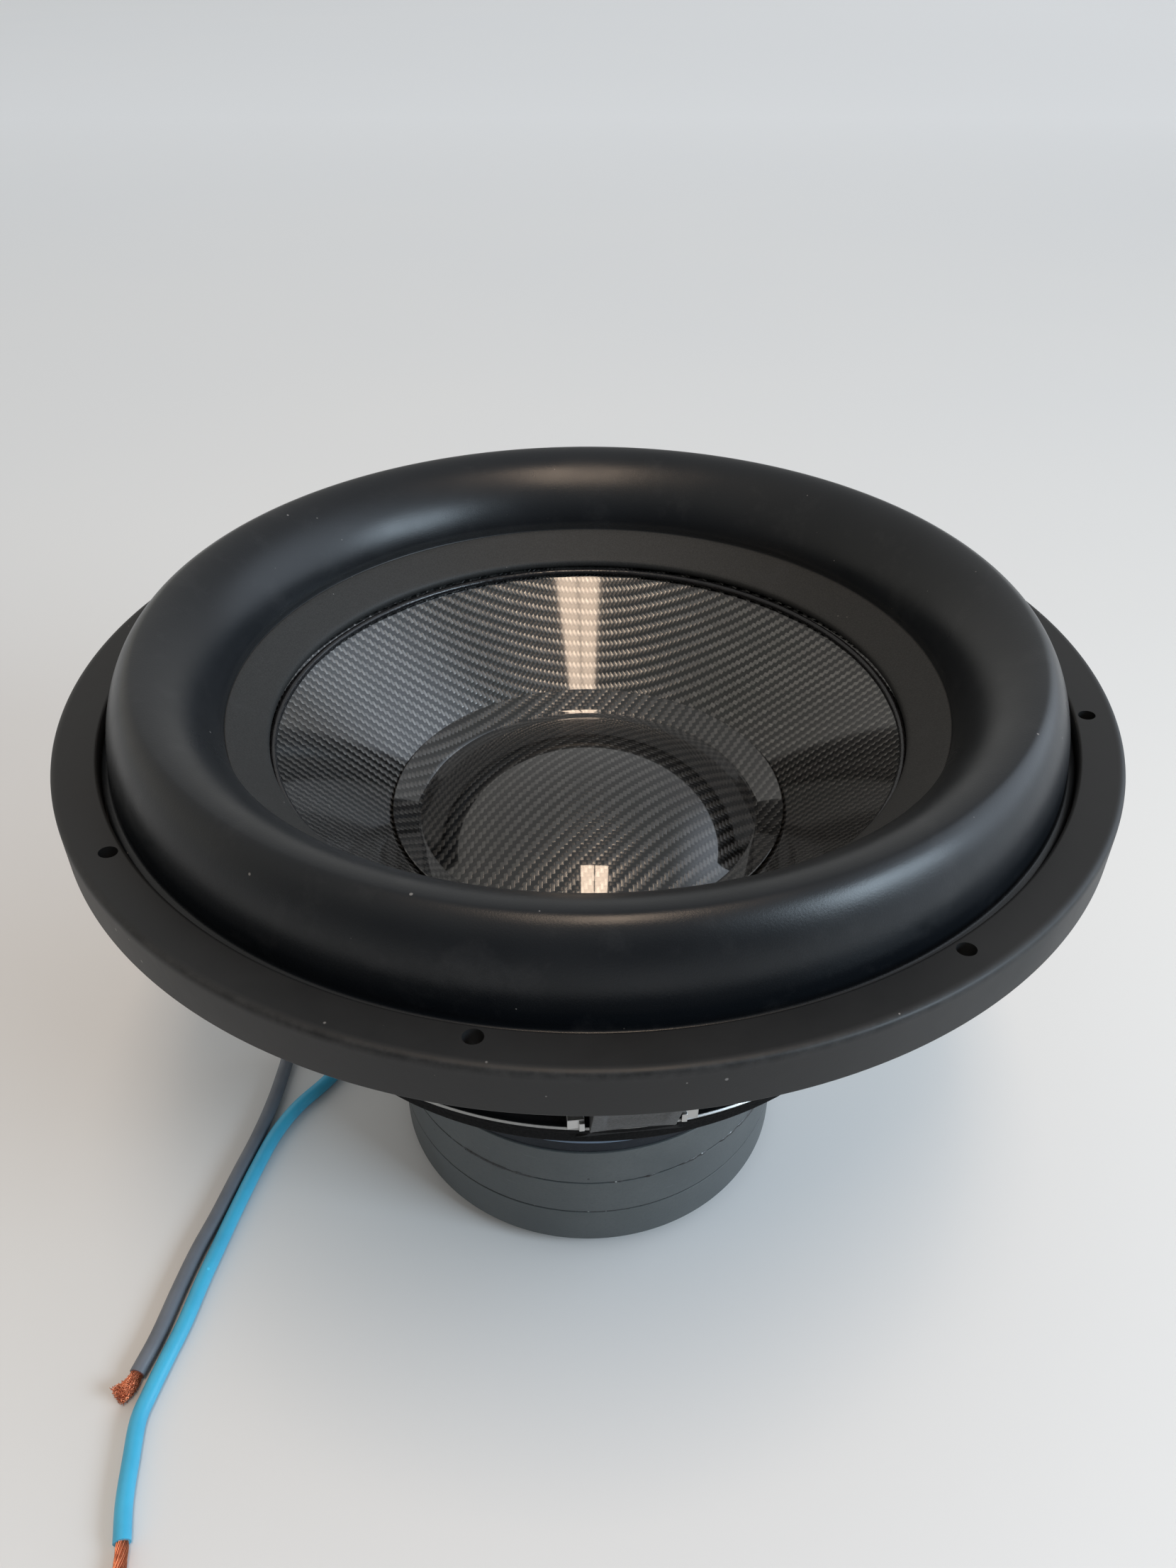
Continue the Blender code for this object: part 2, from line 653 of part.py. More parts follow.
def make_cone_assembly():
    neck, rim = cone_height(CONE_NECK_R), cone_height(CONE_RIM_R)
    cone_outline = [
        (CONE_NECK_R, neck),
        (CONE_NECK_R, neck - CONE_THICK_Z),
        (CONE_RIM_R, rim - CONE_THICK_Z),
        (CONE_RIM_R, rim),
    ]
    pieces = [turned("cone", cone_outline, MEDIUM, CARBON), make_dust_cap()]

    rim_bead_r = LIP_IN_R - 0.9 * MM
    pieces.append(bead("cone_rim_glue", rim_bead_r, cone_height(rim_bead_r) + 3.0 * MM, 1.7 * MM))
    cap_bead_r = DOME_R + 5.7 * MM
    pieces.append(bead("dust_cap_glue", cap_bead_r, cone_height(cap_bead_r) + 2.2 * MM, MM))

    pieces.append(
        ring("voice_coil_former", FORMER_IN_R, FORMER_OUT_R, FORMER_BOTTOM, FORMER_TOP, COARSE, FORMER)
    )
    for layer, (r_in, r_out) in zip(("inner", "outer"), WINDING_LAYERS):
        winding = ring(f"voice_coil_{layer}", r_in, r_out, WINDING_BOTTOM, WINDING_TOP, COARSE, COPPER)
        pieces.append(winding)

    collar_in_r, collar_out_r = SPIDER_IN_R, CONE_NECK_R + 4.5 * MM
    collar_bottom = 178.2 * MM
    under_cone = CONE_THICK_Z + 0.5 * MM
    collar_outline = [
        (collar_in_r, cone_height(CONE_NECK_R) - under_cone - 0.4 * MM),
        (collar_in_r, collar_bottom),
        (collar_out_r, collar_bottom),
        (collar_out_r, cone_height(collar_out_r) - under_cone),
    ]
    pieces.append(turned("neck_collar", collar_outline, COARSE, GLUE))

    axis = bpy.data.objects.new("cone_travel_axis", None)
    link(axis)
    for piece in pieces:
        piece.parent = axis


def make_dust_cap():
    """A conical flange that slopes in and down, then a spherical dome; one thin shell."""
    sphere_r = (DOME_R**2 + DOME_RISE**2) / (2 * DOME_RISE)
    centre_z = DOME_FOOT_Z + DOME_RISE - sphere_r
    opening = math.asin(DOME_R / sphere_r)
    rings = 6

    def dome(radius, first_angle):
        angles = [first_angle * (1 - i / rings) for i in range(rings + 1)]
        return [(radius * math.sin(a), centre_z + radius * math.cos(a)) for a in angles]

    under_z = CAP_THICK * 1.15
    inner_sphere = sphere_r - CAP_THICK
    upper = [(CAP_EDGE_R, CAP_EDGE_Z)] + dome(sphere_r, opening)
    under = [(CAP_EDGE_R, CAP_EDGE_Z - under_z), (DOME_R, DOME_FOOT_Z - under_z)]
    under += dome(inner_sphere, opening * 0.97)
    upper[-1] = (0.0, upper[-1][1])
    under[-1] = (0.0, under[-1][1])
    return turned("dust_cap", under + list(reversed(upper)), MEDIUM, CARBON)


def make_tinsel_leads():
    """Braided leads from the former's neck, over the upper spider, to the terminal screws."""
    profile = [(59.5, 184.0), (72, 186.5), (90, 188), (112, 187), (134, 188), (150, 190), (164, 189), (173, 185)]
    for name, side in (("tinsel_lead_grey", 1), ("tinsel_lead_blue", -1)):
        last_r = profile[-1][0]
        points = []
        for r, z in profile:
            spread = side * (LUG_SPACING / 2) * (0.4 + 0.6 * r / last_r)
            points.append(polar(r * MM, BLOCK_DEG, z * MM) + polar(spread, BLOCK_DEG + 90))
        tube(name, smooth_route(points, 9 * MM), LEAD_R, TINSEL)


def make_wires():
    tube("wire_grey", smooth_route(GREY_ROUTE, WIRE_STEP), WIRE_R, GREY_PVC)
    tube("wire_blue", smooth_route(BLUE_ROUTE, WIRE_STEP), WIRE_R, BLUE_PVC)
    tube("strands_grey", smooth_route(GREY_STRANDS, 6 * MM), STRAND_R, COPPER)
    tube("strands_blue", smooth_route(BLUE_STRANDS, 6 * MM), STRAND_R, COPPER)


def main():
    clear_scene()
    make_gasket()
    make_basket()
    make_foot_screws()
    make_motor()
    make_terminals()
    make_surround()
    make_spiders()
    make_cone_assembly()
    make_tinsel_leads()
    make_wires()


main()
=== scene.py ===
import math
import random

import bmesh
import bpy
import numpy as np
from mathutils import Matrix, Vector


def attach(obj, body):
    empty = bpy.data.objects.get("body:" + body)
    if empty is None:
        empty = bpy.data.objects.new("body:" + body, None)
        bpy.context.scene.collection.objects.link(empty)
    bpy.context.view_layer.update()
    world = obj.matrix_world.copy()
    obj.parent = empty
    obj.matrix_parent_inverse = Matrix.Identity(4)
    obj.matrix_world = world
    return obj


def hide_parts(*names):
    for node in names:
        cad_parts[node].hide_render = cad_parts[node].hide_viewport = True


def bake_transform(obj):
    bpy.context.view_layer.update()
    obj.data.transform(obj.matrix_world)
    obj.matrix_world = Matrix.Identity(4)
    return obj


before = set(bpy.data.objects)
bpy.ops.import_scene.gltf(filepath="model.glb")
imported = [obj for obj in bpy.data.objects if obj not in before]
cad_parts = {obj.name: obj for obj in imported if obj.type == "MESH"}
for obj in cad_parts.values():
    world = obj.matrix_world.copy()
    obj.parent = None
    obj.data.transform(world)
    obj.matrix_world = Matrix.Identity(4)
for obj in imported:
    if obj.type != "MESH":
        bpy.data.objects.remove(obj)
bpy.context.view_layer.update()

MM = 0.001
FIXED, MOVING = "chassis", "cone_assembly"
BOLT_DEG = -9.4
BOLT_CIRCLE = 222.3 * MM
SCREW_DEG = -61.1
SCREW_CIRCLE = 96 * MM
SPOKE_DEG = -83.6
BLOCK_DEG = 160.5
PITCH_DEG = 45
LEAD_OFFSET = 0.011


# ---- camera
def make_camera():
    data = bpy.data.cameras.new("camera")
    data.sensor_fit = "VERTICAL"
    data.sensor_height = 36.0
    data.lens = 36.0 * 1662 / 2212
    data.clip_end = 100
    camera = bpy.data.objects.new("camera", data)
    camera.location = (0.0, -0.4685, 0.5848)
    camera.rotation_euler = (math.radians(90 - 36.95), 0.0, 0.0)
    bpy.context.scene.collection.objects.link(camera)
    bpy.context.scene.camera = camera


make_camera()


# ---- shader graph helpers
class Graph:
    """Adds shader nodes to a tree and hands back their output sockets."""

    def __init__(self, tree):
        self.tree = tree

    def put(self, socket, value):
        if isinstance(value, bpy.types.NodeSocket):
            self.tree.links.new(value, socket)
        else:
            socket.default_value = value

    def add(self, kind, inputs, **settings):
        node = self.tree.nodes.new("ShaderNode" + kind)
        for key, value in settings.items():
            setattr(node, key, value)
        for key, value in inputs.items():
            self.put(node.inputs[key], value)
        return node

    def math(self, operation, *values):
        return self.add("Math", dict(enumerate(values)), operation=operation).outputs[0]

    def times(self, a, b):
        return self.math("MULTIPLY", a, b)

    def plus(self, a, b):
        return self.math("ADD", a, b)

    def minus(self, a, b):
        return self.math("SUBTRACT", a, b)

    def mix(self, factor, a, b):
        return self.add("Mix", {0: factor, 2: a, 3: b}, data_type="FLOAT").outputs[0]

    def colour(self, factor, a, b, blend="MIX"):
        a, b = ((*c, 1.0) if isinstance(c, tuple) else c for c in (a, b))
        return self.add("Mix", {0: factor, 6: a, 7: b}, data_type="RGBA", blend_type=blend).outputs[2]

    def shade(self, pattern, a, b, low=0.3, high=0.7):
        """Colour a where the pattern is low, b where it is high."""
        return self.colour(self.span(pattern, low, high), a, b)

    def split(self, vector):
        return self.add("SeparateXYZ", {0: vector}).outputs

    def join(self, x, y, z):
        return self.add("CombineXYZ", {0: x, 1: y, 2: z}).outputs[0]

    def radius(self, x, y):
        return self.math("SQRT", self.plus(self.times(x, x), self.times(y, y)))

    def span(self, value, low, high, to_low=0.0, to_high=1.0, kind="LINEAR"):
        inputs = {0: value, 1: low, 2: high, 3: to_low, 4: to_high}
        return self.add("MapRange", inputs, interpolation_type=kind).outputs[0]

    def bump(self, height, distance, strength=1.0):
        return self.add("Bump", {"Height": height, "Distance": distance, "Strength": strength}).outputs[0]


class Surface(Graph):
    """A new material; its patterns lie in the object's own space."""

    def __init__(self, name, roughness=0.5, metallic=0.0, **sockets):
        self.mat = bpy.data.materials.new(name)
        self.mat.use_nodes = True
        super().__init__(self.mat.node_tree)
        self.shader = self.tree.nodes["Principled BSDF"].inputs
        self.set(None, roughness, Metallic=metallic, **sockets)
        self.at = self.add("TexCoord", {}).outputs["Object"]

    def set(self, colour, roughness=None, normal=None, **others):
        """Sets or links the shader's sockets, and returns the material."""
        sockets = {"Base Color": colour, "Roughness": roughness, "Normal": normal, **others}
        for key, value in sockets.items():
            if value is not None:
                self.put(self.shader[key.replace("_", " ")], value)
        return self.mat

    def noise(self, scale, detail=2.0, roughness=0.5, at=None):
        at = self.at if at is None else at
        inputs = {"Vector": at, "Scale": scale, "Detail": detail, "Roughness": roughness}
        return self.add("TexNoise", inputs).outputs[0]

    def specks(self, scale, size, share):
        """Sparse round specks: a share of the cells of a Voronoi pattern hold one."""
        cells = self.add("TexVoronoi", {"Vector": self.at, "Scale": scale})
        near = self.span(cells.outputs["Distance"], size, size * 0.6)
        return self.times(near, self.math("LESS_THAN", self.split(cells.outputs["Color"])[0], share))


# ---- materials
def jacket_mat(name, colour, dark, roughness):
    """Soft PVC: faint blotches, a fine orange-peel surface and thin rubbed streaks."""
    g = Surface(name, roughness)
    blotch = g.noise(60, 3)
    tone = g.shade(blotch, colour, dark, 0.35)
    scuff = g.times(g.specks(240, 0.22, 0.05), 0.5)
    return g.set(
        g.colour(scuff, tone, tuple(min(1, c * 1.7) for c in colour)),
        g.span(blotch, 0.3, 0.7, roughness - 0.05, roughness + 0.08),
        g.bump(g.plus(g.noise(1800, 2), g.times(blotch, 2)), 0.00006, 0.6),
    )


def copper_mat():
    g = Surface("bare_copper", 0.3, 1.0)
    tarnish = g.noise(260, 3)
    return g.set(
        g.shade(tarnish, (0.80, 0.29, 0.15), (0.50, 0.155, 0.08), 0.35, 0.65),
        g.span(tarnish, 0.3, 0.7, 0.22, 0.42),
    )


def gasket_mat():
    """Smooth moulded rubber with dust and faint flow marks; a patchy painted highlight lightens the rounded
    outer top edge, which is also a little rougher.
    """
    g = Surface("gasket_rubber", 0.5, Specular_IOR_Level=0.30)
    x, y, z = g.split(g.at)
    flow = g.noise(14, 4, 0.6)
    base = g.shade(flow, (0.0075, 0.0078, 0.0082), (0.0120, 0.0124, 0.0128))
    # Painted highlight: in patches the rounded outer top edge is mixed towards a lighter grey.
    edge = g.times(g.span(g.radius(x, y), 0.2325, 0.2342), g.span(z, 0.2935, 0.2965))
    edge_highlight = g.times(edge, g.span(g.noise(180, 4, 0.7), 0.4, 0.75))
    base = g.colour(g.times(edge_highlight, 0.45), base, (0.045, 0.045, 0.045))
    dust = g.math("MAXIMUM", g.specks(95, 0.07, 0.10), g.specks(230, 0.10, 0.05))
    height = g.plus(g.times(g.noise(1500, 3), 0.35), g.times(g.noise(120, 3), 0.9))
    return g.set(
        g.colour(g.times(dust, 0.6), base, (0.22, 0.21, 0.20)),
        g.plus(g.span(flow, 0.3, 0.7, 0.43, 0.54), g.times(edge_highlight, 0.1)),
        g.bump(height, 0.00012, 0.5),
    )


def surround_mat():
    """One moulding: satin roll, matte stippled attachment ring inside radius 165 mm."""
    g = Surface("surround_rubber", 0.36, Specular_IOR_Level=0.34)
    x, y, _ = g.split(g.at)
    ring = g.span(g.radius(x, y), 0.1654, 0.1646)
    grain = g.noise(1300, 4, 0.65)
    roll = g.shade(g.noise(9, 4, 0.6), (0.0028, 0.0039, 0.0054), (0.0056, 0.0070, 0.0090))
    flat = g.shade(grain, (0.0100, 0.0105, 0.0105), (0.0230, 0.0235, 0.0230), 0.35)
    bloom = g.times(g.span(g.noise(40, 5, 0.7), 0.55, 0.8), 0.35)
    base = g.colour(bloom, g.colour(ring, roll, flat), (0.028, 0.029, 0.031))
    dust = g.math("MAXIMUM", g.specks(70, 0.05, 0.09), g.specks(260, 0.09, 0.035))
    stipple = g.times(grain, g.mix(ring, 0.55, 1.3))
    return g.set(
        g.colour(g.times(dust, 0.55), base, (0.25, 0.24, 0.23)),
        g.mix(ring, g.span(g.noise(30, 3), 0.3, 0.7, 0.27, 0.35), 0.60),
        g.bump(g.plus(stipple, g.times(g.noise(70, 3), 0.5)), 0.00016, 0.5),
    )


def carbon_mat(name, turn_deg, pitch, flip, light, gloss, ior):
    """2x2 twill carbon cloth under clear resin, laid flat and seen from above.

    Each tow is a rounded ridge that floats over two others.  The warp and the weft scatter light across
    their own fibres, so one or the other lights up as the surface turns.  The base colour holds painted
    light as well: a painted sheen keeps the warp tows bright and the weft tows nearly black, and painted
    shade darkens each tow where it dips under its neighbours."""
    resin = {"Coat_Weight": 1.0, "Coat_Roughness": gloss, "Coat_IOR": ior}
    g = Surface(name, 0.30, 0.75, Anisotropic=0.8, **resin)
    x, y, _ = g.split(g.at)
    turn = math.radians(turn_deg)
    c, s = math.cos(turn), math.sin(turn)
    wander = g.times(g.minus(g.noise(28, 2), 0.5), 0.55)
    u = g.plus(g.plus(g.times(x, c / pitch), g.times(y, s / pitch)), wander)
    v = g.times(g.plus(g.plus(g.times(x, -s / pitch), g.times(y, c / pitch)), wander), flip)
    iu, iv = g.math("FLOOR", u), g.math("FLOOR", v)
    fu, fv = g.math("FRACT", u), g.math("FRACT", v)
    step = g.math("FLOORED_MODULO", g.plus(iu, iv), 4.0)
    warp = g.math("LESS_THAN", step, 1.5)
    run = g.mix(warp, g.plus(g.minus(step, 2.0), fu), g.plus(step, fv))
    side = g.mix(warp, fv, fu)
    lean = g.minus(g.times(side, 2.0), 1.0)
    crown = g.minus(1.0, g.math("POWER", g.math("ABSOLUTE", lean), 2.6))
    arch = g.minus(1.0, g.math("POWER", g.math("ABSOLUTE", g.minus(run, 1.0)), 3.0))
    height = g.times(g.math("POWER", g.math("MAXIMUM", crown, 0.0), 0.5), arch)
    # The number that names each tow, so that every tow has a tone of its own.
    tow = g.mix(warp, g.plus(iv, 500.0), iu)
    tone = g.add("TexWhiteNoise", {"W": tow}, noise_dimensions="1D").outputs[0]
    fibre_at = g.join(g.times(side, 9.0), g.times(g.mix(warp, u, v), 0.35), tow)
    fibre = g.noise(1.0, 3, 0.7, fibre_at)
    lit = g.times(g.span(tone, 0, 1, 0.8, 1.2), g.span(fibre, 0.3, 0.7, 0.72, 1.25))
    # Painted shade: each tow's colour darkens where it dips under its neighbours.
    groove_shade = g.span(height, 0.0, 0.28, 0.12, 1.0)
    # Painted sheen: warp tows keep their full base colour and weft tows only 7 percent, so the bright and
    # dark tows are fixed in the colour.
    strength = g.times(g.times(lit, groove_shade), g.mix(warp, 0.07, 1.0))
    tint = {i: g.times(strength, light * share) for i, share in enumerate((1, 0.97, 0.92))}
    across = {0: warp, 4: Vector((-s, c, 0.0)), 5: Vector((c, s, 0.0))}
    return g.set(
        g.add("CombineColor", tint).outputs[0],
        g.span(fibre, 0.3, 0.7, 0.18, 0.28),
        g.bump(g.plus(height, g.times(fibre, 0.10)), 0.00022, 0.75),
        Tangent=g.add("Mix", across, data_type="VECTOR").outputs[1],
    )


def glue_mat():
    g = Surface("black_adhesive", 0.2, Specular_IOR_Level=0.4)
    lump = g.noise(160, 3)
    return g.set(
        g.shade(lump, (0.004, 0.004, 0.005), (0.010, 0.010, 0.011)),
        g.span(g.noise(500, 2), 0.3, 0.7, 0.14, 0.34),
        g.bump(lump, 0.0008, 0.6),
    )


def joint_mat():
    """Epoxy squeezed out between the magnets and wiped, with sparse pale specks in it."""
    g = Surface("joint_adhesive", 0.3, Specular_IOR_Level=0.5)
    lump = g.noise(240, 4, 0.7)
    base = g.shade(lump, (0.006, 0.006, 0.007), (0.040, 0.043, 0.045), 0.35, 0.65)
    return g.set(
        g.colour(g.specks(420, 0.28, 0.16), base, (0.26, 0.27, 0.27)),
        g.span(lump, 0.3, 0.7, 0.2, 0.5),
        g.bump(lump, 0.0005, 0.8),
    )


def ferrite_mat():
    """Ground sintered ferrite: fine grinding lines round the ring, dull mottling and small chipped spots."""
    g = Surface("magnet_ferrite", 0.48)
    x, y, z = g.split(g.at)
    mottle = g.noise(22, 5, 0.65)
    fine = g.noise(700, 3)
    ground = g.noise(2600, 2, at=g.join(g.times(x, 0.04), g.times(y, 0.04), z))
    base = g.shade(mottle, (0.044, 0.052, 0.054), (0.076, 0.084, 0.085))
    base = g.colour(g.times(g.span(fine, 0.45, 0.75), 0.35), base, (0.040, 0.043, 0.046))
    scratch_at = g.join(g.times(x, 0.3), g.times(y, 0.3), g.times(z, 3.0))
    scratch = g.span(g.noise(90, 5, 0.8, scratch_at), 0.66, 0.72)
    base = g.colour(g.times(scratch, 0.5), base, (0.17, 0.175, 0.18))
    chip = g.specks(120, 0.10, 0.08)
    height = g.minus(g.plus(g.times(ground, 0.5), g.times(fine, 0.4)), g.times(chip, 1.2))
    return g.set(
        g.colour(chip, base, (0.022, 0.023, 0.025)),
        g.span(mottle, 0.3, 0.7, 0.42, 0.58),
        g.bump(height, 0.00016, 0.6),
    )


def plate_mat():
    """Thick blue-black baked paint over turned steel."""
    g = Surface("plate_steel", 0.32, Specular_IOR_Level=0.16)
    return g.set(
        g.shade(g.noise(35, 4), (0.0040, 0.0058, 0.0090), (0.0075, 0.0105, 0.0160)),
        g.span(g.noise(300, 3), 0.3, 0.7, 0.26, 0.40),
        g.bump(g.noise(420, 3), 0.00014, 0.5),
    )


def casting_mat():
    """Satin black coat over sand-cast aluminium."""
    g = Surface("basket_alloy", 0.42, Specular_IOR_Level=0.3)
    grain = g.noise(900, 4, 0.7)
    base = g.shade(g.noise(20, 4), (0.020, 0.020, 0.020), (0.034, 0.034, 0.033))
    return g.set(
        g.colour(g.times(g.specks(130, 0.08, 0.07), 0.4), base, (0.2, 0.2, 0.2)),
        g.span(grain, 0.35, 0.7, 0.36, 0.52),
        g.bump(g.plus(grain, g.times(g.noise(160, 3), 0.8)), 0.00022, 0.6),
    )


def painted_shade_mat():
    """Dull, near-black painted shade for the casting's inner and lower faces, which lie in deep shadow."""
    g = Surface("casting_painted_shade", 0.7, Specular_IOR_Level=0.08)
    return g.set(
        g.shade(g.noise(40, 4), (0.0016, 0.0017, 0.0020), (0.0045, 0.0046, 0.0050)),
        g.span(g.noise(900, 3), 0.3, 0.7, 0.6, 0.8),
        g.bump(g.noise(500, 3), 0.0002, 0.6),
    )


def metal_mat(name, colour, roughness, lines=(1, 1, 1), metallic=1.0):
    """Turned or plated metal: faint tool lines, stretched by the given factors, and a few dull spots."""
    g = Surface(name, roughness, metallic)
    stretched = g.join(*[g.times(axis, factor) for axis, factor in zip(g.split(g.at), lines)])
    tool = g.noise(1800, 3, at=stretched)
    spot = g.times(g.span(g.noise(140, 4, 0.7), 0.55, 0.75), 0.5)
    return g.set(
        g.colour(spot, colour, tuple(c * 0.55 for c in colour)),
        g.span(tool, 0.3, 0.7, roughness - 0.06, roughness + 0.08),
        g.bump(tool, 0.00005, 0.5),
    )


def spider_mat():
    """Dark resin-set cloth with an open plain weave; painted shade darkens the lines between the threads."""
    g = Surface("spider_cloth", 0.78, Sheen_Weight=0.25)
    x, y, _ = g.split(g.at)
    threads = [g.math("ABSOLUTE", g.math("SINE", g.times(axis, math.pi / 0.0009))) for axis in (x, y)]
    weave = g.times(*threads)
    tone = g.shade(g.noise(30, 3), (0.040, 0.038, 0.034), (0.066, 0.062, 0.055))
    return g.set(
        # Painted shade: near black between the threads, the cloth's own tone on their crowns.
        g.shade(weave, (0.008, 0.008, 0.007), tone, 0.0, 0.35),
        normal=g.bump(weave, 0.0003, 0.8),
    )


def film_mat():
    """Amber film former, glossy, with faint lengthwise wrinkles."""
    g = Surface("former_film", 0.28, Coat_Weight=0.4, Coat_Roughness=0.1)
    x, y, z = g.split(g.at)
    streak = g.noise(260, 3, at=g.join(x, y, g.times(z, 0.1)))
    return g.set(
        g.shade(streak, (0.30, 0.13, 0.025), (0.18, 0.07, 0.015)),
        normal=g.bump(streak, 0.0002, 0.5),
    )


def winding_mat():
    """Round enamelled wire wound side by side, 0.9 mm apart up the coil; painted shade darkens the grooves
    between the turns.
    """
    g = Surface("coil_winding", 0.3, 1.0)
    turn = g.math("FRACT", g.math("DIVIDE", g.split(g.at)[2], 0.0009))
    ridge = g.math("SINE", g.times(turn, math.pi))
    return g.set(
        # Painted shade: the colour falls to a deep brown where neighbouring turns meet.
        g.shade(ridge, (0.10, 0.03, 0.015), (0.72, 0.26, 0.12), 0.0, 0.5),
        normal=g.bump(ridge, 0.0004, 1.0),
    )


def plastic_mat():
    g = Surface("terminal_plastic", 0.42)
    fine = g.noise(1400, 3)
    return g.set(
        g.shade(g.noise(60, 3), (0.012, 0.012, 0.013), (0.020, 0.020, 0.021)),
        g.span(fine, 0.3, 0.7, 0.36, 0.5),
        g.bump(fine, 0.00012, 0.6),
    )


def tinsel_mat():
    """Tinned braid: two families of fine wires that cross; painted shade darkens the gaps between the wires.
    """
    g = Surface("tinsel_braid", 0.35, 0.9)
    x, y, z = g.split(g.at)
    ways = (g.plus(g.plus(x, y), z), g.minus(g.minus(x, y), z))
    braid = g.times(*[g.math("ABSOLUTE", g.math("SINE", g.times(way, 5200.0))) for way in ways])
    return g.set(
        # Painted shade: the braid darkens between the wire crowns.
        g.shade(braid, (0.16, 0.14, 0.12), (0.70, 0.68, 0.64), 0.0, 0.5),
        normal=g.bump(braid, 0.0002, 0.8),
    )


GREY = jacket_mat("grey_jacket", (0.125, 0.140, 0.165), (0.100, 0.112, 0.132), 0.45)
BLUE = jacket_mat("blue_jacket", (0.055, 0.400, 0.610), (0.045, 0.340, 0.540), 0.38)
COPPER = copper_mat()
GASKET = gasket_mat()
SURROUND = surround_mat()
CONE_CARBON = carbon_mat("carbon_cone", 45.0, 1.63 * MM, 1.0, 0.102, 0.075, 1.48)
CAP_CARBON = carbon_mat("carbon_cap", 0.0, 1.85 * MM, -1.0, 0.062, 0.035, 1.60)
GLUE = glue_mat()
JOINT = joint_mat()
FERRITE = ferrite_mat()
PLATE = plate_mat()
PLATE_EDGE_HIGHLIGHT = metal_mat("plate_edge_highlight", (0.16, 0.21, 0.28), 0.34, metallic=0.6)
CASTING = casting_mat()
PAINTED_SHADE_BLACK = painted_shade_mat()
MACHINED = metal_mat("machined_edge", (0.46, 0.465, 0.46), 0.34, (1, 1, 6))
NICKEL = metal_mat("plated_steel", (0.62, 0.61, 0.58), 0.24)
ALLOY = metal_mat("shorting_aluminium", (0.78, 0.79, 0.80), 0.30, (0.1, 0.1, 4))
POLE_COPPER = metal_mat("turned_copper", (0.75, 0.32, 0.18), 0.28)
SPIDER = spider_mat()
FILM = film_mat()
WINDING = winding_mat()
PLASTIC = plastic_mat()
TINSEL = tinsel_mat()


# ---- mesh helpers
def link(obj, *materials):
    bpy.context.scene.collection.objects.link(obj)
    for mat in materials:
        obj.data.materials.append(mat)
    return obj


def mesh_object(name, verts, faces, *materials):
    mesh = bpy.data.meshes.new(name)
    mesh.from_pydata([tuple(v) for v in verts], [], faces)
    mesh.validate()
    mesh.update()
    mesh.shade_smooth()
    return link(bpy.data.objects.new(name, mesh), *materials)


def tube_faces(rows, count, ring=False):
    """Faces between each row of count points and the next; a ring goes on from the last row to the first."""
    faces = []
    for i in range(rows if ring else rows - 1):
        j = (i + 1) % rows
        for k in range(count):
            m = (k + 1) % count
            faces.append((i * count + k, i * count + m, j * count + m, j * count + k))
    return faces


def box_mesh(name, low, high, *materials):
    verts = [(x, y, z) for x in (low[0], high[0]) for y in (low[1], high[1]) for z in (low[2], high[2])]
    faces = [(0, 1, 3, 2), (4, 6, 7, 5), (0, 4, 5, 1), (2, 3, 7, 6), (0, 2, 6, 4), (1, 5, 7, 3)]
    return mesh_object(name, verts, faces, *materials)


def clean(obj, merge):
    """Turns every face outward, after joining points that coincide if merge is set."""
    bm = bmesh.new()
    bm.from_mesh(obj.data)
    if merge:
        bmesh.ops.remove_doubles(bm, verts=bm.verts, dist=1e-7)
    bmesh.ops.recalc_face_normals(bm, faces=bm.faces)
    bm.to_mesh(obj.data)
    bm.free()
    obj.data.shade_smooth()
    return obj


def sharpen(obj, degrees):
    obj.data.shade_smooth()
    obj.data.set_sharp_from_angle(angle=math.radians(degrees))
    return obj


def even(obj):
    """Keeps broad faces flat-looking beside their small rounded edges."""
    obj.modifiers.new("normals", "WEIGHTED_NORMAL").keep_sharp = True
    return obj


def bake_modifiers(obj):
    """Writes obj's modifiers into its mesh and takes them off."""
    graph = bpy.context.evaluated_depsgraph_get()
    mesh = bpy.data.meshes.new_from_object(obj.evaluated_get(graph))
    obj.modifiers.clear()
    obj.data = mesh
    return obj


def bevelled(obj, width, segments=3):
    bevel = obj.modifiers.new("bevel", "BEVEL")
    bevel.width = width
    bevel.segments = segments
    bevel.limit_method = "ANGLE"
    bake_modifiers(obj)
    obj.data.shade_smooth()
    return obj


def cut_with(obj, cutter):
    mod = obj.modifiers.new("cut", "BOOLEAN")
    mod.object = cutter
    mod.solver = "EXACT"
    bake_modifiers(obj)
    bpy.data.objects.remove(cutter)


def drilled(obj, places, radius, bottom, top, sides=32, turn=0.0):
    """Cuts a straight hole of so many sides down through obj at each (x, y) place."""
    bm = bmesh.new()
    size = {"segments": sides, "radius1": radius, "radius2": radius, "depth": top - bottom}
    for x, y in places:
        at = Matrix.Translation((x, y, (bottom + top) / 2)) @ Matrix.Rotation(turn, 4, "Z")
        bmesh.ops.create_cone(bm, cap_ends=True, matrix=at, **size)
    mesh = bpy.data.meshes.new("cutter")
    bm.to_mesh(mesh)
    bm.free()
    cut_with(obj, link(bpy.data.objects.new("cutter", mesh)))


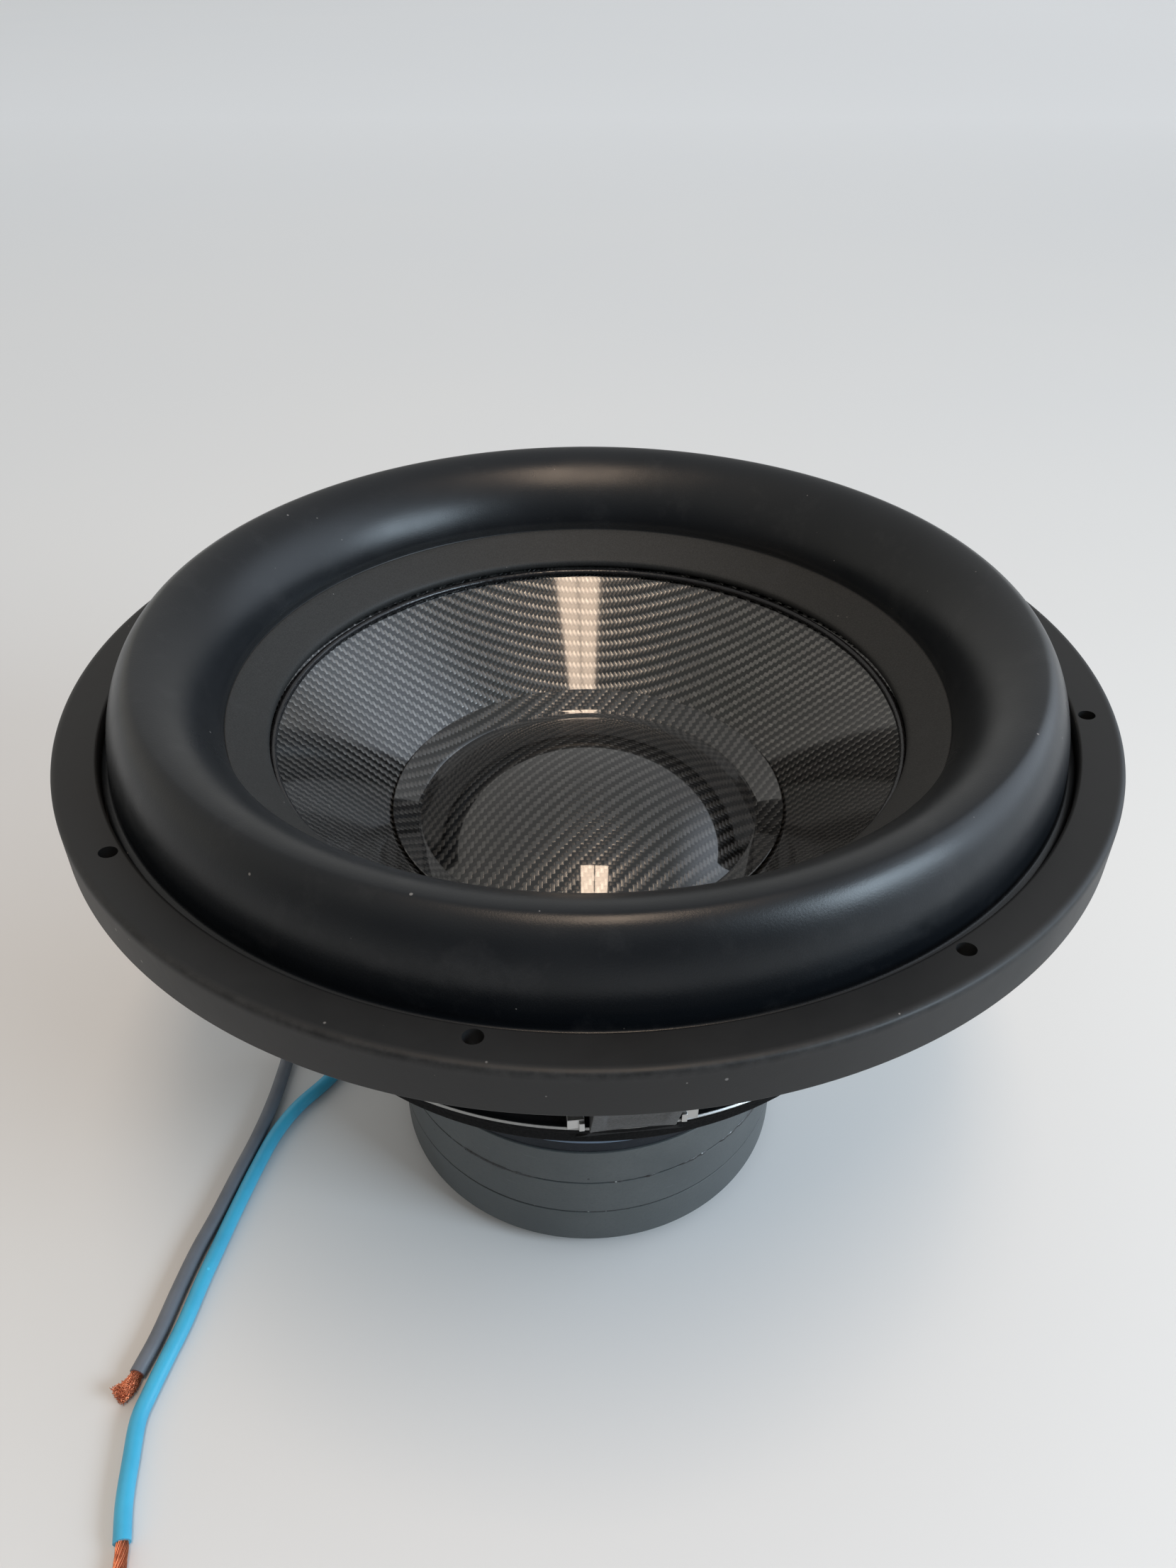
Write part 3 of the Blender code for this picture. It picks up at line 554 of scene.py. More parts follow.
def rounded(outline, radius, steps=3):
    """The closed outline with each corner eased; a point may bring its own radius as a third number."""
    points = []
    count = len(outline)
    for index, corner in enumerate(outline):
        near = (outline[index - 1], corner, outline[(index + 1) % count])
        before, here, after = (np.array(point[:2], float) for point in near)
        wanted = corner[2] if len(corner) > 2 else radius
        if wanted <= 0:
            points.append(tuple(here))
            continue
        back, ahead = before - here, after - here
        cut_back = min(wanted, np.linalg.norm(back) * 0.45)
        cut_ahead = min(wanted, np.linalg.norm(ahead) * 0.45)
        start = here + back / np.linalg.norm(back) * cut_back
        end = here + ahead / np.linalg.norm(ahead) * cut_ahead
        for step in range(steps + 1):
            t = step / steps
            points.append(tuple((1 - t) ** 2 * start + 2 * t * (1 - t) * here + t * t * end))
    return points


def lathe(name, outline, segments, *materials, wobble=None):
    """A closed (r, z) outline in mm turned round Z.  wobble(angle, r, z) may give each point a new (r, z)."""
    outline = [(r * MM, z * MM) for r, z in outline]
    count = len(outline)
    verts = []
    for i in range(segments):
        angle = math.tau * i / segments
        for r, z in outline:
            if wobble is not None:
                r, z = wobble(angle, r, z)
            verts.append((r * math.cos(angle), r * math.sin(angle), z))
    on_axis = [r < 1e-9 for r, z in outline]
    faces = tube_faces(segments, count, True)
    faces = [face for face in faces if not (on_axis[face[0] % count] and on_axis[face[1] % count])]
    return clean(mesh_object(name, verts, faces, *materials), True)


def polar(radius, degrees, z=0.0):
    angle = math.radians(degrees)
    return Vector((radius * math.cos(angle), radius * math.sin(angle), z))


def circle_places(count, first_deg, radius):
    return [tuple(polar(radius, first_deg + i * 360 / count))[:2] for i in range(count)]


def catmull(points, per_span):
    """A smooth curve through the points, with per_span steps between each two."""
    knots = [Vector(p) for p in points]
    knots = [2 * knots[0] - knots[1]] + knots + [2 * knots[-1] - knots[-2]]
    curve = []
    for before, start, end, after in zip(knots, knots[1:], knots[2:], knots[3:]):
        for share in (i / per_span for i in range(per_span)):
            cubic = -before + 3 * start - 3 * end + after
            square = 2 * before - 5 * start + 4 * end - after
            curve.append(0.5 * (2 * start + share * (end - before) + share**2 * square + share**3 * cubic))
    curve.append(knots[-2])
    return curve


def evenly(curve, step):
    """The same curve, its points about one step apart."""
    travelled = [0.0]
    for a, b in zip(curve, curve[1:]):
        travelled.append(travelled[-1] + (b - a).length)
    count = max(2, round(travelled[-1] / step))
    points = []
    for index in range(count + 1):
        wanted = travelled[-1] * index / count
        at = int(np.searchsorted(travelled, wanted))
        at = min(max(at, 1), len(curve) - 1)
        share = (wanted - travelled[at - 1]) / (travelled[at] - travelled[at - 1])
        points.append(curve[at - 1].lerp(curve[at], min(1.0, max(0.0, share))))
    return points


def curve_object(name, lines, radius, mat, resolution):
    curve = bpy.data.curves.new(name, "CURVE")
    curve.dimensions = "3D"
    curve.bevel_depth = radius
    curve.bevel_resolution = resolution
    curve.use_fill_caps = True
    for points in lines:
        spline = curve.splines.new("POLY")
        spline.points.add(len(points) - 1)
        for point, place in zip(spline.points, points):
            point.co = (*place, 1.0)
        spline.use_smooth = True
    return link(bpy.data.objects.new(name, curve), mat)


def heading(points, index):
    return (points[min(index + 1, len(points) - 1)] - points[max(index - 1, 0)]).normalized()


def frames_along(points):
    """(point, side, up) along a line, with as little twist as possible."""
    side = None
    result = []
    for index, point in enumerate(points):
        ahead = heading(points, index)
        if side is None:
            side = ahead.cross(Vector((0, 0, 1)))
            if side.length < 0.2:
                side = ahead.cross(Vector((1, 0, 0)))
        side = (side - ahead * side.dot(ahead)).normalized()
        result.append((point, side, ahead.cross(side)))
    return result


def swept(name, points, radius, angles, *materials):
    """A round section, with a corner at each angle, carried along a line; both ends are closed."""
    section = [(radius * math.cos(a), radius * math.sin(a)) for a in angles]
    count = len(section)
    verts = [point + side * a + up * b for point, side, up in frames_along(points) for a, b in section]
    faces = tube_faces(len(points), count)
    faces.append(tuple(reversed(range(count))))
    faces.append(tuple((len(points) - 1) * count + k for k in range(count)))
    return mesh_object(name, verts, faces, *materials)


def merged(name, objects):
    """Joins mesh objects into one."""
    target = objects[0]
    with bpy.context.temp_override(
        active_object=target, object=target, selected_objects=objects, selected_editable_objects=objects
    ):
        bpy.ops.object.join()
    target.name = name
    target.data.name = name
    return target


def radial_blend(obj):
    """Bakes obj's transform into its mesh and reads out its vertex positions; no blend towards the cone or
    the chassis is set.
    """
    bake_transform(obj)
    co = np.empty(len(obj.data.vertices) * 3, np.float32)
    obj.data.vertices.foreach_get("co", co)
    co = co.reshape(-1, 3)


def finish(obj, body, node=None):
    """Hides the CAD part of obj's node, which is obj's own name less _visual unless node is given, and hangs
    obj on the body it rides on when a body is given.
    """
    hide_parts(node or obj.name.removesuffix("_visual"))
    if body is not None:
        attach(obj, body)


def random_waves(rng, counts, height):
    """(count, phase, height) of waves round the axis."""
    return [(k, rng.uniform(0, math.tau), height(k)) for k in counts]


def wave_sum(waves, angle, shift=1.0):
    return sum(a * math.sin(k * angle + p * shift) for k, p, a in waves)


# ---- lead wires
WIRE_R = 4 * MM
ON_FLOOR = 4.3 * MM
GREY_ROUTE = [
    (-0.17146, 0.04904, 0.1497), (-0.1716, 0.0490, 0.130), (-0.1750, 0.0495, 0.100), (-0.1800, 0.0500, 0.070),
    (-0.1845, 0.0465, 0.038), (-0.1870, 0.0335, 0.0135), (-0.1879, 0.0152, 0.0045),
]
GREY_FLOOR = [
    (-0.1897, -0.0136), (-0.1936, -0.0406), (-0.1992, -0.0665), (-0.2046, -0.0926),
    (-0.2096, -0.1130), (-0.2135, -0.1350), (-0.2173, -0.1607), (-0.2218, -0.1796),
]
BLUE_ROUTE = [
    (-0.16412, 0.06978, 0.1497), (-0.1639, 0.0700, 0.130), (-0.1588, 0.0705, 0.095), (-0.1520, 0.0665, 0.060),
    (-0.1470, 0.0565, 0.030), (-0.1455, 0.0410, 0.0120), (-0.1490, 0.0220, 0.0046),
]
BLUE_FLOOR = [
    (-0.1590, 0.0015), (-0.1741, -0.0192), (-0.1834, -0.0390), (-0.1894, -0.0622), (-0.1952, -0.0908),
    (-0.1986, -0.1096), (-0.2024, -0.1312), (-0.2056, -0.1539), (-0.2093, -0.1714), (-0.2127, -0.1885),
    (-0.2146, -0.2015), (-0.2127, -0.2184), (-0.2100, -0.2375), (-0.2058, -0.2542),
]
GREY_END = [(-0.2214, -0.1782, 0.0043), (-0.2238, -0.1858, 0.0043), (-0.2285, -0.1913, 0.0046)]
BLUE_END = [(-0.2060, -0.2530, 0.0043), (-0.2041, -0.2620, 0.0040), (-0.2030, -0.2720, 0.0038)]


def strand_lines(end, count, spread, fray, twist, seed):
    """Fine wires in a bundle: packed at the jacket, twisted, and frayed towards their cut ends."""
    rng = random.Random(seed)
    spine = frames_along(evenly(catmull(end, 12), 1.0 * MM))
    last = len(spine) - 1
    lines = []
    for index in range(count):
        rho = math.sqrt((index + 0.5) / count)
        theta = index * 2.399963
        stop = last - rng.randint(0, max(1, last // 4))
        phase = [rng.uniform(0, math.tau) for _ in range(4)]
        line = []
        for k in range(stop + 1):
            t = k / last
            point, side, up = spine[k]
            radius = spread * rho * (1 + fray * t)
            angle = theta + twist * t
            wave = fray * t * 2.6 * MM
            turn = t * math.tau
            a = wave * math.sin(7 * turn + phase[0]) * math.sin(phase[1] + 3 * t)
            b = wave * math.sin(6 * turn + phase[2]) * math.sin(phase[3] + 3 * t)
            place = point + side * (radius * math.cos(angle) + a) + up * (radius * math.sin(angle) + b)
            place.z = max(place.z, 0.0005)
            line.append(place)
        if len(line) > 2:
            lines.append(line)
    return lines


def make_wire(colour, route, end, jacket, bundle):
    points = evenly(catmull(route, 24), 3 * MM)
    for point in points:
        point.z = max(point.z, 0.0042)
    wire = curve_object(f"wire_{colour}", [points], WIRE_R, jacket, 8)
    count, spread, thin, fray, twist, seed = bundle
    lines = strand_lines(end, count, spread, fray, twist, seed)
    strands = curve_object(f"strands_{colour}", lines, thin, COPPER, 2)
    finish(wire, FIXED, f"wire_{colour}")
    finish(strands, FIXED, f"strands_{colour}")


GREY_ROUTE += [(x, y, ON_FLOOR) for x, y in GREY_FLOOR]
BLUE_ROUTE += [(x, y, ON_FLOOR) for x, y in BLUE_FLOOR]
make_wire("grey", GREY_ROUTE, GREY_END, GREY, (190, 2.7 * MM, 0.15 * MM, 0.75, 0.8, 3))
make_wire("blue", BLUE_ROUTE, BLUE_END, BLUE, (60, 2.7 * MM, 0.34 * MM, 0.03, 2.4, 8))


# ---- gasket and surround
BOLTS = circle_places(8, BOLT_DEG, BOLT_CIRCLE)
SCREWS = circle_places(8, SCREW_DEG, SCREW_CIRCLE)


def make_gasket():
    outline = [
        (216.7, 285.3, 0.3), (231.9, 285.3, 0), (231.9, 278.0, 0.3), (235.0, 278.0, 0.6),
        (235.0, 297.2, 2.2), (233.0, 298.7, 1.6), (217.6, 297.2, 0.5), (216.7, 296.4, 0.4),
    ]
    rng = random.Random(5)
    waves = random_waves(rng, (3, 5, 8, 13), lambda k: rng.uniform(0.4, 1.0) / k)

    def wobble(angle, r, z):
        return r, (z + wave_sum(waves, angle) * 0.25 * MM if z > 0.29 else z)

    gasket = lathe("gasket_ring_visual", rounded(outline, 0.3, 5), 360, GASKET, wobble=wobble)
    drilled(gasket, BOLTS, 3.6 * MM, 0.27, 0.31)
    even(sharpen(gasket, 50))
    finish(gasket, FIXED)


def roll_arch(inset, count):
    """The roll's profile, from its inner foot over the top to its outer foot."""
    middle, foot = 196.3, 293.5
    power = 2 / 1.77
    inner, outer, rise = 31.3 - inset, 16.1 - inset, 36.3 - inset
    steps = [(-inner, i) for i in range(count + 1)] + [(outer, i) for i in range(count - 1, -1, -1)]
    points = []
    for reach, i in steps:
        angle = math.pi / 2 * i / count
        points.append((middle + reach * math.cos(angle) ** power, foot + rise * math.sin(angle) ** power))
    return points


def make_surround():
    lip = [(147.5, 279.6), (147.62, 280.7), (148.1, 281.45), (149.2, 282.35)]
    slope = [(149.2 + (164.2 - 149.2) * t, 282.35 + (292.7 - 282.35) * t) for t in (0.15, 0.5, 0.85, 1.0)]
    groove = [(164.7, 292.9), (165.0, 292.75), (165.25, 293.2)]
    rim = [(212.3, 293.2), (212.7, 292.4), (213.6, 292.0), (215.2, 291.9), (216.0, 291.5), (216.2, 290.6)]
    under = [(216.2, 287.9), (204.5, 287.9), (204.3, 289.5)]
    hollow = list(reversed(roll_arch(3.2, 16)))[1:-1]
    back = [(166.5, 292.0), (164.5, 290.4), (148.2, 277.7), (147.6, 278.3)]
    outline = lip + slope + groove + roll_arch(0.0, 30)[1:-1] + rim + under + hollow + back
    surround = sharpen(lathe("surround_visual", outline, 288, SURROUND), 60)
    radial_blend(surround)
    finish(surround, None)


# ---- cone and dust cap
def cone_z(r):
    """Height of the cone's upper face."""
    return 225.2 + (r - 96.9) * 0.9506


def make_bead(name, r, z, lift, radius, segments, seed, amount):
    """A bead of adhesive that swells and wanders a little along its length."""
    turns = [i * math.tau / 10 for i in range(10)]
    outline = [(r + radius * math.cos(a), z + lift + radius * math.sin(a)) for a in turns]
    rng = random.Random(seed)
    waves = random_waves(rng, (3, 7, 11, 19, 31, 47, 73), lambda k: 1 / math.sqrt(k))

    def wobble(angle, at_r, at_z):
        swell = 1 + amount * wave_sum(waves, angle) / 2
        shift = amount * 0.5 * MM * wave_sum(waves, angle, 2) / 2
        return r * MM + (at_r - r * MM) * swell + shift, z * MM + (at_z - z * MM) * swell

    bead = lathe(f"{name}_visual", outline, segments, GLUE, wobble=wobble)
    finish(bead, MOVING)


def make_cone():
    thickness = 2.2
    reach = [52.0 + (164.0 - 52.0) * i / 14 for i in range(15)]
    top = [(r, cone_z(r)) for r in reach]
    below = [(r, z - thickness) for r, z in reversed(top)]
    cone = sharpen(lathe("cone_visual", top + below, 192, CONE_CARBON), 40)
    finish(cone, MOVING)

    # The cap is a slice of a sphere: half_width across, height tall, standing at foot_z.
    half_width, height, foot_z, shell = 83.3, 26.5, 219.7, 1.2
    sphere = (half_width**2 + height**2) / (2 * height)
    centre = foot_z + height - sphere
    opening = math.asin(half_width / sphere)

    def on_sphere(radius, angle):
        return max(0.0, radius * math.sin(angle)), centre + radius * math.cos(angle)

    dome = [on_sphere(sphere, opening * (1 - i / 28)) for i in range(29)]
    hollow = [on_sphere(sphere - shell, opening * 0.97 * i / 12) for i in range(13)]
    edge = [(96.9, 226.1), (96.8, 226.8), (96.4, 226.95)]
    slope = [(96.4 + (84.2 - 96.4) * t, 226.95 + (220.15 - 226.95) * t) for t in (0.1, 0.5, 0.9, 1.0)]
    foot = [(83.75, 219.75)]
    under = [(82.9, 218.3), (96.0, 225.5)]
    cap = lathe("dust_cap_visual", edge + slope + foot + dome[1:] + hollow + under, 192, CAP_CARBON)
    finish(sharpen(cap, 38), MOVING)

    make_bead("cone_rim_glue", 146.6, cone_z(146.6) + 3.0, -0.35, 1.75, 420, 2, 0.14)
    make_bead("dust_cap_glue", 89.0, cone_z(89.0) + thickness, 0.0, 1.0, 96, 4, 0.1)


# ---- motor
def make_motor():
    levels = {"lower": (7.8, 32.0), "middle": (33.0, 57.2), "upper": (58.2, 82.8)}
    for name, (bottom, top) in levels.items():
        corners = [(57.0, top, 0.5), (57.0, bottom, 0.5), (108.8, bottom, 0.45), (108.8, top, 0.45)]
        magnet = lathe(f"magnet_ring_{name}_visual", rounded(corners, 0.5), 320, FERRITE)
        even(sharpen(magnet, 50))
        finish(magnet, FIXED)
    for name, middle, amount in (("lower", 32.5, 0.3), ("upper", 57.7, 2.6)):
        waves = random_waves(random.Random(name), (5, 9, 17, 29, 43, 67, 101), lambda k: 1 / math.sqrt(k))

        def squeeze(angle, r, z, waves=waves, amount=amount, middle=middle):
            if r < 0.1:
                return r, z
            front = 0.5 + 0.5 * math.cos(angle + math.radians(82))
            out = max(-0.3, min(1.0, wave_sum(waves, angle) * amount * front))
            return r + out * MM, middle * MM + (z - middle * MM) * (1 + 1.6 * max(0.0, out))

        low, high = middle - 0.45, middle + 0.45
        outline = [(58.0, high), (58.0, low), (107.9, low), (108.5, middle), (107.9, high)]
        glue = lathe(f"magnet_glue_{name}_visual", outline, 600, JOINT, wobble=squeeze)
        finish(glue, FIXED)

    corners = [
        (55.4, 97.1, 0.8), (55.4, 83.1, 0.8), (108.0, 83.1, 0.4), (108.0, 90.3, 0.1),
        (107.2, 91.1, 0.1), (86.5, 91.1, 0.6), (86.5, 97.1, 0.8),
    ]
    plate = lathe("top_plate_visual", rounded(corners, 0.5), 256, PLATE)
    drilled(plate, SCREWS, 3.0 * MM, 0.0855, 0.1, 20)
    # Painted highlight: the chamfer round the plate's top edge takes a lighter, light-blue metal.
    plate.data.materials.append(PLATE_EDGE_HIGHLIGHT)
    for face in plate.data.polygons:
        spot = face.center
        face.material_index = int(math.hypot(spot.x, spot.y) > 0.1071 and 0.0902 < spot.z < 0.0911)
    even(sharpen(plate, 40))
    finish(plate, FIXED)

    corners = [
        (18.0, 98.0, 2.5), (18.0, 2.0, 0.4), (22.0, 2.0, 0.3), (22.0, 0.0, 0.8), (98.0, 0.0, 1.6),
        (98.0, 7.5, 1.2), (56.5, 7.5, 0.4), (56.5, 14.0, 0.6), (49.4, 14.0, 0.6), (49.4, 98.0, 0.8),
    ]
    yoke = lathe("back_plate_yoke_visual", rounded(corners, 0.5), 192, PLATE)
    even(sharpen(yoke, 40))
    finish(yoke, FIXED)


def make_vent_screen():
    """A woven wire screen held in a pressed rim."""
    rim = [(21.6, 0.4, 0.3), (21.6, 1.7, 0.3), (18.4, 1.7, 0.3), (18.4, 0.4, 0.3)]
    parts = [lathe("vent_rim", rounded(rim, 0.3), 96, NICKEL)]
    pitch, reach, steps = 2.2, 18.8, 24
    for index in range(-8, 9):
        offset = index * pitch
        half = math.sqrt(max(0.0, reach**2 - offset**2))
        for turned in (False, True):
            line = []
            for k in range(steps + 1):
                t = -half + 2 * half * k / steps
                rise = 0.16 * math.cos(math.pi * t / pitch + math.pi * (index + turned))
                x, y = (offset, t) if turned else (t, offset)
                line.append(Vector((x * MM, y * MM, (1.1 + rise) * MM)))
            if half > 1:
                parts.append(swept("vent_wire", line, 0.3 * MM, (0, 1.05, 2.09, 3.14, 4.19, 5.24), NICKEL))
    finish(merged("vent_screen_visual", parts), FIXED)


# ---- basket
# The middle line of a spoke in (r, z), from inside the foot ring up to inside the rim.
SPOKE_LINE = [
    (98.5, 94.5), (100.5, 97.8), (122.0, 126.0), (145.5, 156.5), (155.0, 167.0), (163.2, 179.5),
    (180.0, 215.0), (206.5, 272.5), (210.5, 281.5),
]


def spoke_width(z):
    """Half width of a spoke at height z; it spreads into the rings at its ends."""
    flares = [7.0 * math.exp(-(((z - level) / 9.0) ** 2)) for level in (97.0, 164.0, 280.0)]
    return 18.0 + max(flares)


def ease(value, rise, full, fade, end):
    """0 outside rise..end, 1 between full and fade."""
    return max(0.0, min(1.0, (value - rise) / (full - rise), (end - value) / (end - fade)))


def make_spoke(angle_deg):
    """A leg of the casting, with a shallow pocket down its outer face and eased edges."""
    line = catmull([Vector((r * MM, 0, z * MM)) for r, z in SPOKE_LINE], 6)
    verts = []
    thick = 3.4
    for index, point in enumerate(line):
        ahead = heading(line, index)
        outward = Vector((ahead.z, 0, -ahead.x))
        height = point.z / MM
        w = spoke_width(height)
        pocket = 1.8 * max(ease(height, 104, 112, 150, 158), ease(height, 189, 197, 262, 270)) + 0.01
        section = [(-w, -thick), (w, -thick), (w, thick), (w - 4.5, thick), (w - 6.5, thick - pocket)]
        section += [(-w + 6.5, thick - pocket), (-w + 4.5, thick), (-w, thick)]
        section = rounded(section, 0.7, 2)
        count = len(section)
        for side, out in section:
            verts.append(point + Vector((0, side * MM, 0)) + outward * (out * MM))
    faces = tube_faces(len(line), count)
    faces.append(tuple(range(count)))
    faces.append(tuple(reversed([(len(line) - 1) * count + k for k in range(count)])))
    turn = Matrix.Rotation(math.radians(angle_deg), 3, "Z")
    spoke = mesh_object("spoke", [turn @ v for v in verts], faces, CASTING, MACHINED, PAINTED_SHADE_BLACK)
    return sharpen(clean(spoke, False), 50)


def make_lugs():
    """Two small machined steps stand on the shelf's rim, one on either side of each spoke."""
    lugs = []
    for index in range(8):
        for side in (-1, 1):
            middle = side * 0.0236
            inner = middle - side * 0.0024
            tall = ((0.1612, middle - 0.0036, 0.1815), (0.1660, middle + 0.0036, 0.1872))
            low = ((0.1655, inner - 0.0012, 0.1815), (0.1676, inner + 0.0012, 0.1864))
            for corners in (tall, low):
                lug = bevelled(box_mesh("lug", *corners, CASTING, MACHINED), 0.35 * MM, 2)
                lug.data.transform(Matrix.Rotation(math.radians(SPOKE_DEG + PITCH_DEG * index), 4, "Z"))
                for face in lug.data.polygons:
                    face.material_index = 1
                lugs.append(lug)
    return lugs


BASKET_RINGS = {
    "rim": [
        (203.0, 287.6, 0.6), (203.0, 281.0, 1.5), (206.0, 278.2, 1.0), (231.5, 278.2, 0.8),
        (231.5, 285.0, 0.5), (216.3, 285.0, 0.3), (216.3, 287.6, 0.3),
    ],
    "collar": [(198.5, 270.5, 1.5), (208.8, 270.5, 2.0), (212.8, 279.5, 0.5), (203.2, 281.5, 0.5)],
    "shelf": [
        (157.7, 184.0, 0.8), (157.7, 166.0, 0.8), (138.0, 166.0, 0.8), (138.0, 161.0, 0.8),
        (143.5, 158.8, 1.0), (153.0, 158.8, 2.0), (160.5, 163.0, 1.0), (160.5, 176.0, 1.0),
        (168.0, 179.0, 0.4), (168.0, 181.3, 0.2), (167.3, 182.0, 0.2), (165.0, 182.3, 0.6),
        (163.0, 184.0, 0.8),
    ],
    "foot": [
        (87.5, 98.6, 0.6), (87.5, 91.5, 0.6), (105.0, 91.5, 0.6), (105.0, 97.0, 0.6), (103.5, 98.6, 0.6),
    ],
}


def make_basket():
    # Slot 2 holds the near-black painted shade.
    bare, painted, dull = 1, 0, 2
    parts = []
    for name, corners in BASKET_RINGS.items():
        ring = lathe("basket_" + name, rounded(corners, 0.6), 256, CASTING, MACHINED, PAINTED_SHADE_BLACK)
        if name == "rim":
            drilled(ring, BOLTS, 3.5 * MM, 0.27, 0.3, 24)
        if name == "foot":
            drilled(ring, SCREWS, 3.0 * MM, 0.088, 0.103, 20)
        if name == "shelf":
            # Painted shade: the whole shelf but its machined lip takes the near-black material.
            for face in ring.data.polygons:
                r = math.hypot(face.center.x, face.center.y)
                face.material_index = bare if r > 0.1671 and face.center.z > 0.1812 else dull
        parts.append(sharpen(ring, 40))
    parts += [make_spoke(SPOKE_DEG + PITCH_DEG * index) for index in range(8)]
    basket = merged("basket_visual", parts + make_lugs())
    # Painted shade: the casting's painted faces below the shelf's rim, the lower spokes and the foot ring,
    # take the near-black material too.
    for face in basket.data.polygons:
        if face.material_index == painted and face.center.z < 0.1788:
            face.material_index = dull
    even(basket)
    finish(basket, FIXED)


# ---- small metal and inner parts
def make_foot_screws():
    corners = [(0.0, 103.1, 0), (0.0, 86.6, 0), (2.4, 86.6, 0.3), (2.4, 98.9, 0)]
    corners += [(4.4, 98.9, 0.3), (4.4, 103.1, 0.6)]
    for index in range(8):
        screw = lathe(f"foot_screw_{index + 1}_visual", rounded(corners, 0), 48, NICKEL)
        drilled(screw, [(0, 0)], 2.3 * MM, 0.1005, 0.105, 6, index)
        sharpen(screw, 35)
        screw.data.transform(Matrix.Translation(polar(SCREW_CIRCLE, SCREW_DEG + PITCH_DEG * index)))
        even(screw)
        finish(screw, FIXED)


def make_terminals():
    turn = Matrix.Rotation(math.radians(BLOCK_DEG), 4, "Z")
    boxes = [
        ("terminal_base", (0.1685, -0.023, 0.167), (0.1862, 0.023, 0.1775), 0.9 * MM, 3),
        ("terminal_step", (0.1695, -0.0205, 0.175), (0.1838, 0.0205, 0.183), 0.8 * MM, 3),
        ("terminal_wall", (0.1700, -0.0012, 0.176), (0.1836, 0.0012, 0.1868), 0.4 * MM, 3),
    ]
    for side in (-1, 1):
        for offset in (-0.0052, 0.0052):
            y = side * LEAD_OFFSET + offset
            low, high = (0.1858, y - 0.0006, 0.1685), (0.1865, y + 0.0006, 0.1765)
            boxes.append(("terminal_rib", low, high, 0.2 * MM, 2))
    parts = [bevelled(box_mesh(*box[:3], PLASTIC), *box[3:]) for box in boxes]
    block = merged("terminal_block_visual", parts)
    block.data.transform(turn)
    finish(block, FIXED)

    crimped = [
        (0.0, 166.6, 0), (0.0, 150.0, 0), (4.4, 150.0, 0.3), (4.9, 150.6, 0.3),
        (4.9, 152.4, 0.5), (4.3, 153.2, 0.5), (4.3, 155.0, 0.5), (4.9, 155.8, 0.5),
        (4.9, 160.0, 0.6), (3.6, 161.5, 0.8), (3.6, 166.6, 0.2),
    ]
    clamp_head = [(0.0, 187.0, 0), (0.0, 183.3, 0), (3.6, 183.3, 0.3), (3.6, 185.9, 0.9), (2.4, 187.0, 0.6)]
    along = polar(1.0, BLOCK_DEG + 90)
    for name, side in (("grey", 1), ("blue", -1)):
        foot = Matrix.Translation(polar(0.178, BLOCK_DEG) + along * (side * LEAD_OFFSET))
        ferrule = lathe(f"ferrule_{name}_visual", rounded(crimped, 0.3), 64, NICKEL)
        ferrule.data.transform(foot)
        even(ferrule)
        finish(ferrule, FIXED)
        screw = lathe(f"terminal_screw_{name}_visual", rounded(clamp_head, 0), 48, NICKEL)
        slot = box_mesh("slot", (-0.005, -0.0005, 0.1858), (0.005, 0.0005, 0.19))
        slot.data.transform(Matrix.Rotation(0.6 + side, 4, "Z"))
        cut_with(screw, slot)
        sharpen(screw, 40)
        screw.data.transform(foot)
        even(screw)
        finish(screw, FIXED)

    fixing_head = [(0.0, 2.4, 0), (0.0, 0.0, 0), (3.4, 0.0, 0.2), (3.4, 1.2, 0.8), (2.0, 2.4, 0.8)]
    fixing = lathe("terminal_fixing_screw_visual", rounded(fixing_head, 0), 48, NICKEL)
    for angle in (0.0, math.pi / 2):
        cross = box_mesh("cross", (-0.0018, -0.00035, 0.0010), (0.0018, 0.00035, 0.01))
        cross.data.transform(Matrix.Rotation(angle + 0.3, 4, "Z"))
        cut_with(fixing, cross)
    place = Matrix.Translation(polar(0.1867, BLOCK_DEG, 0.173)) @ turn @ Matrix.Rotation(math.pi / 2, 4, "Y")
    fixing.data.transform(place)
    sharpen(fixing, 40)
    finish(fixing, FIXED)


def make_spiders():
    first, last, thickness = 61.0, 134.0, 0.9
    pressed = [first + (last - first) * i / 84 for i in range(85)]
    radii = [51.6, 54.0, 57.0] + pressed + [138.0, 150.0, 157.0]
    for name, bottom in (("lower", 166.3), ("upper", 176.3)):

        def level(r, bottom=bottom):
            share = (r - first) / (last - first)
            height = min(1.0, 6 * share, 6 * (1 - share)) if 0 < share < 1 else 0.0
            return bottom + height * 3.0 * math.sin(math.tau * 7 * share)

        upper = [(r, level(r) + thickness) for r in radii]
        under = [(r, level(r)) for r in reversed(radii)]
        spider = lathe(f"spider_{name}_visual", upper + under, 144, SPIDER)
        radial_blend(spider)
        finish(spider, None)


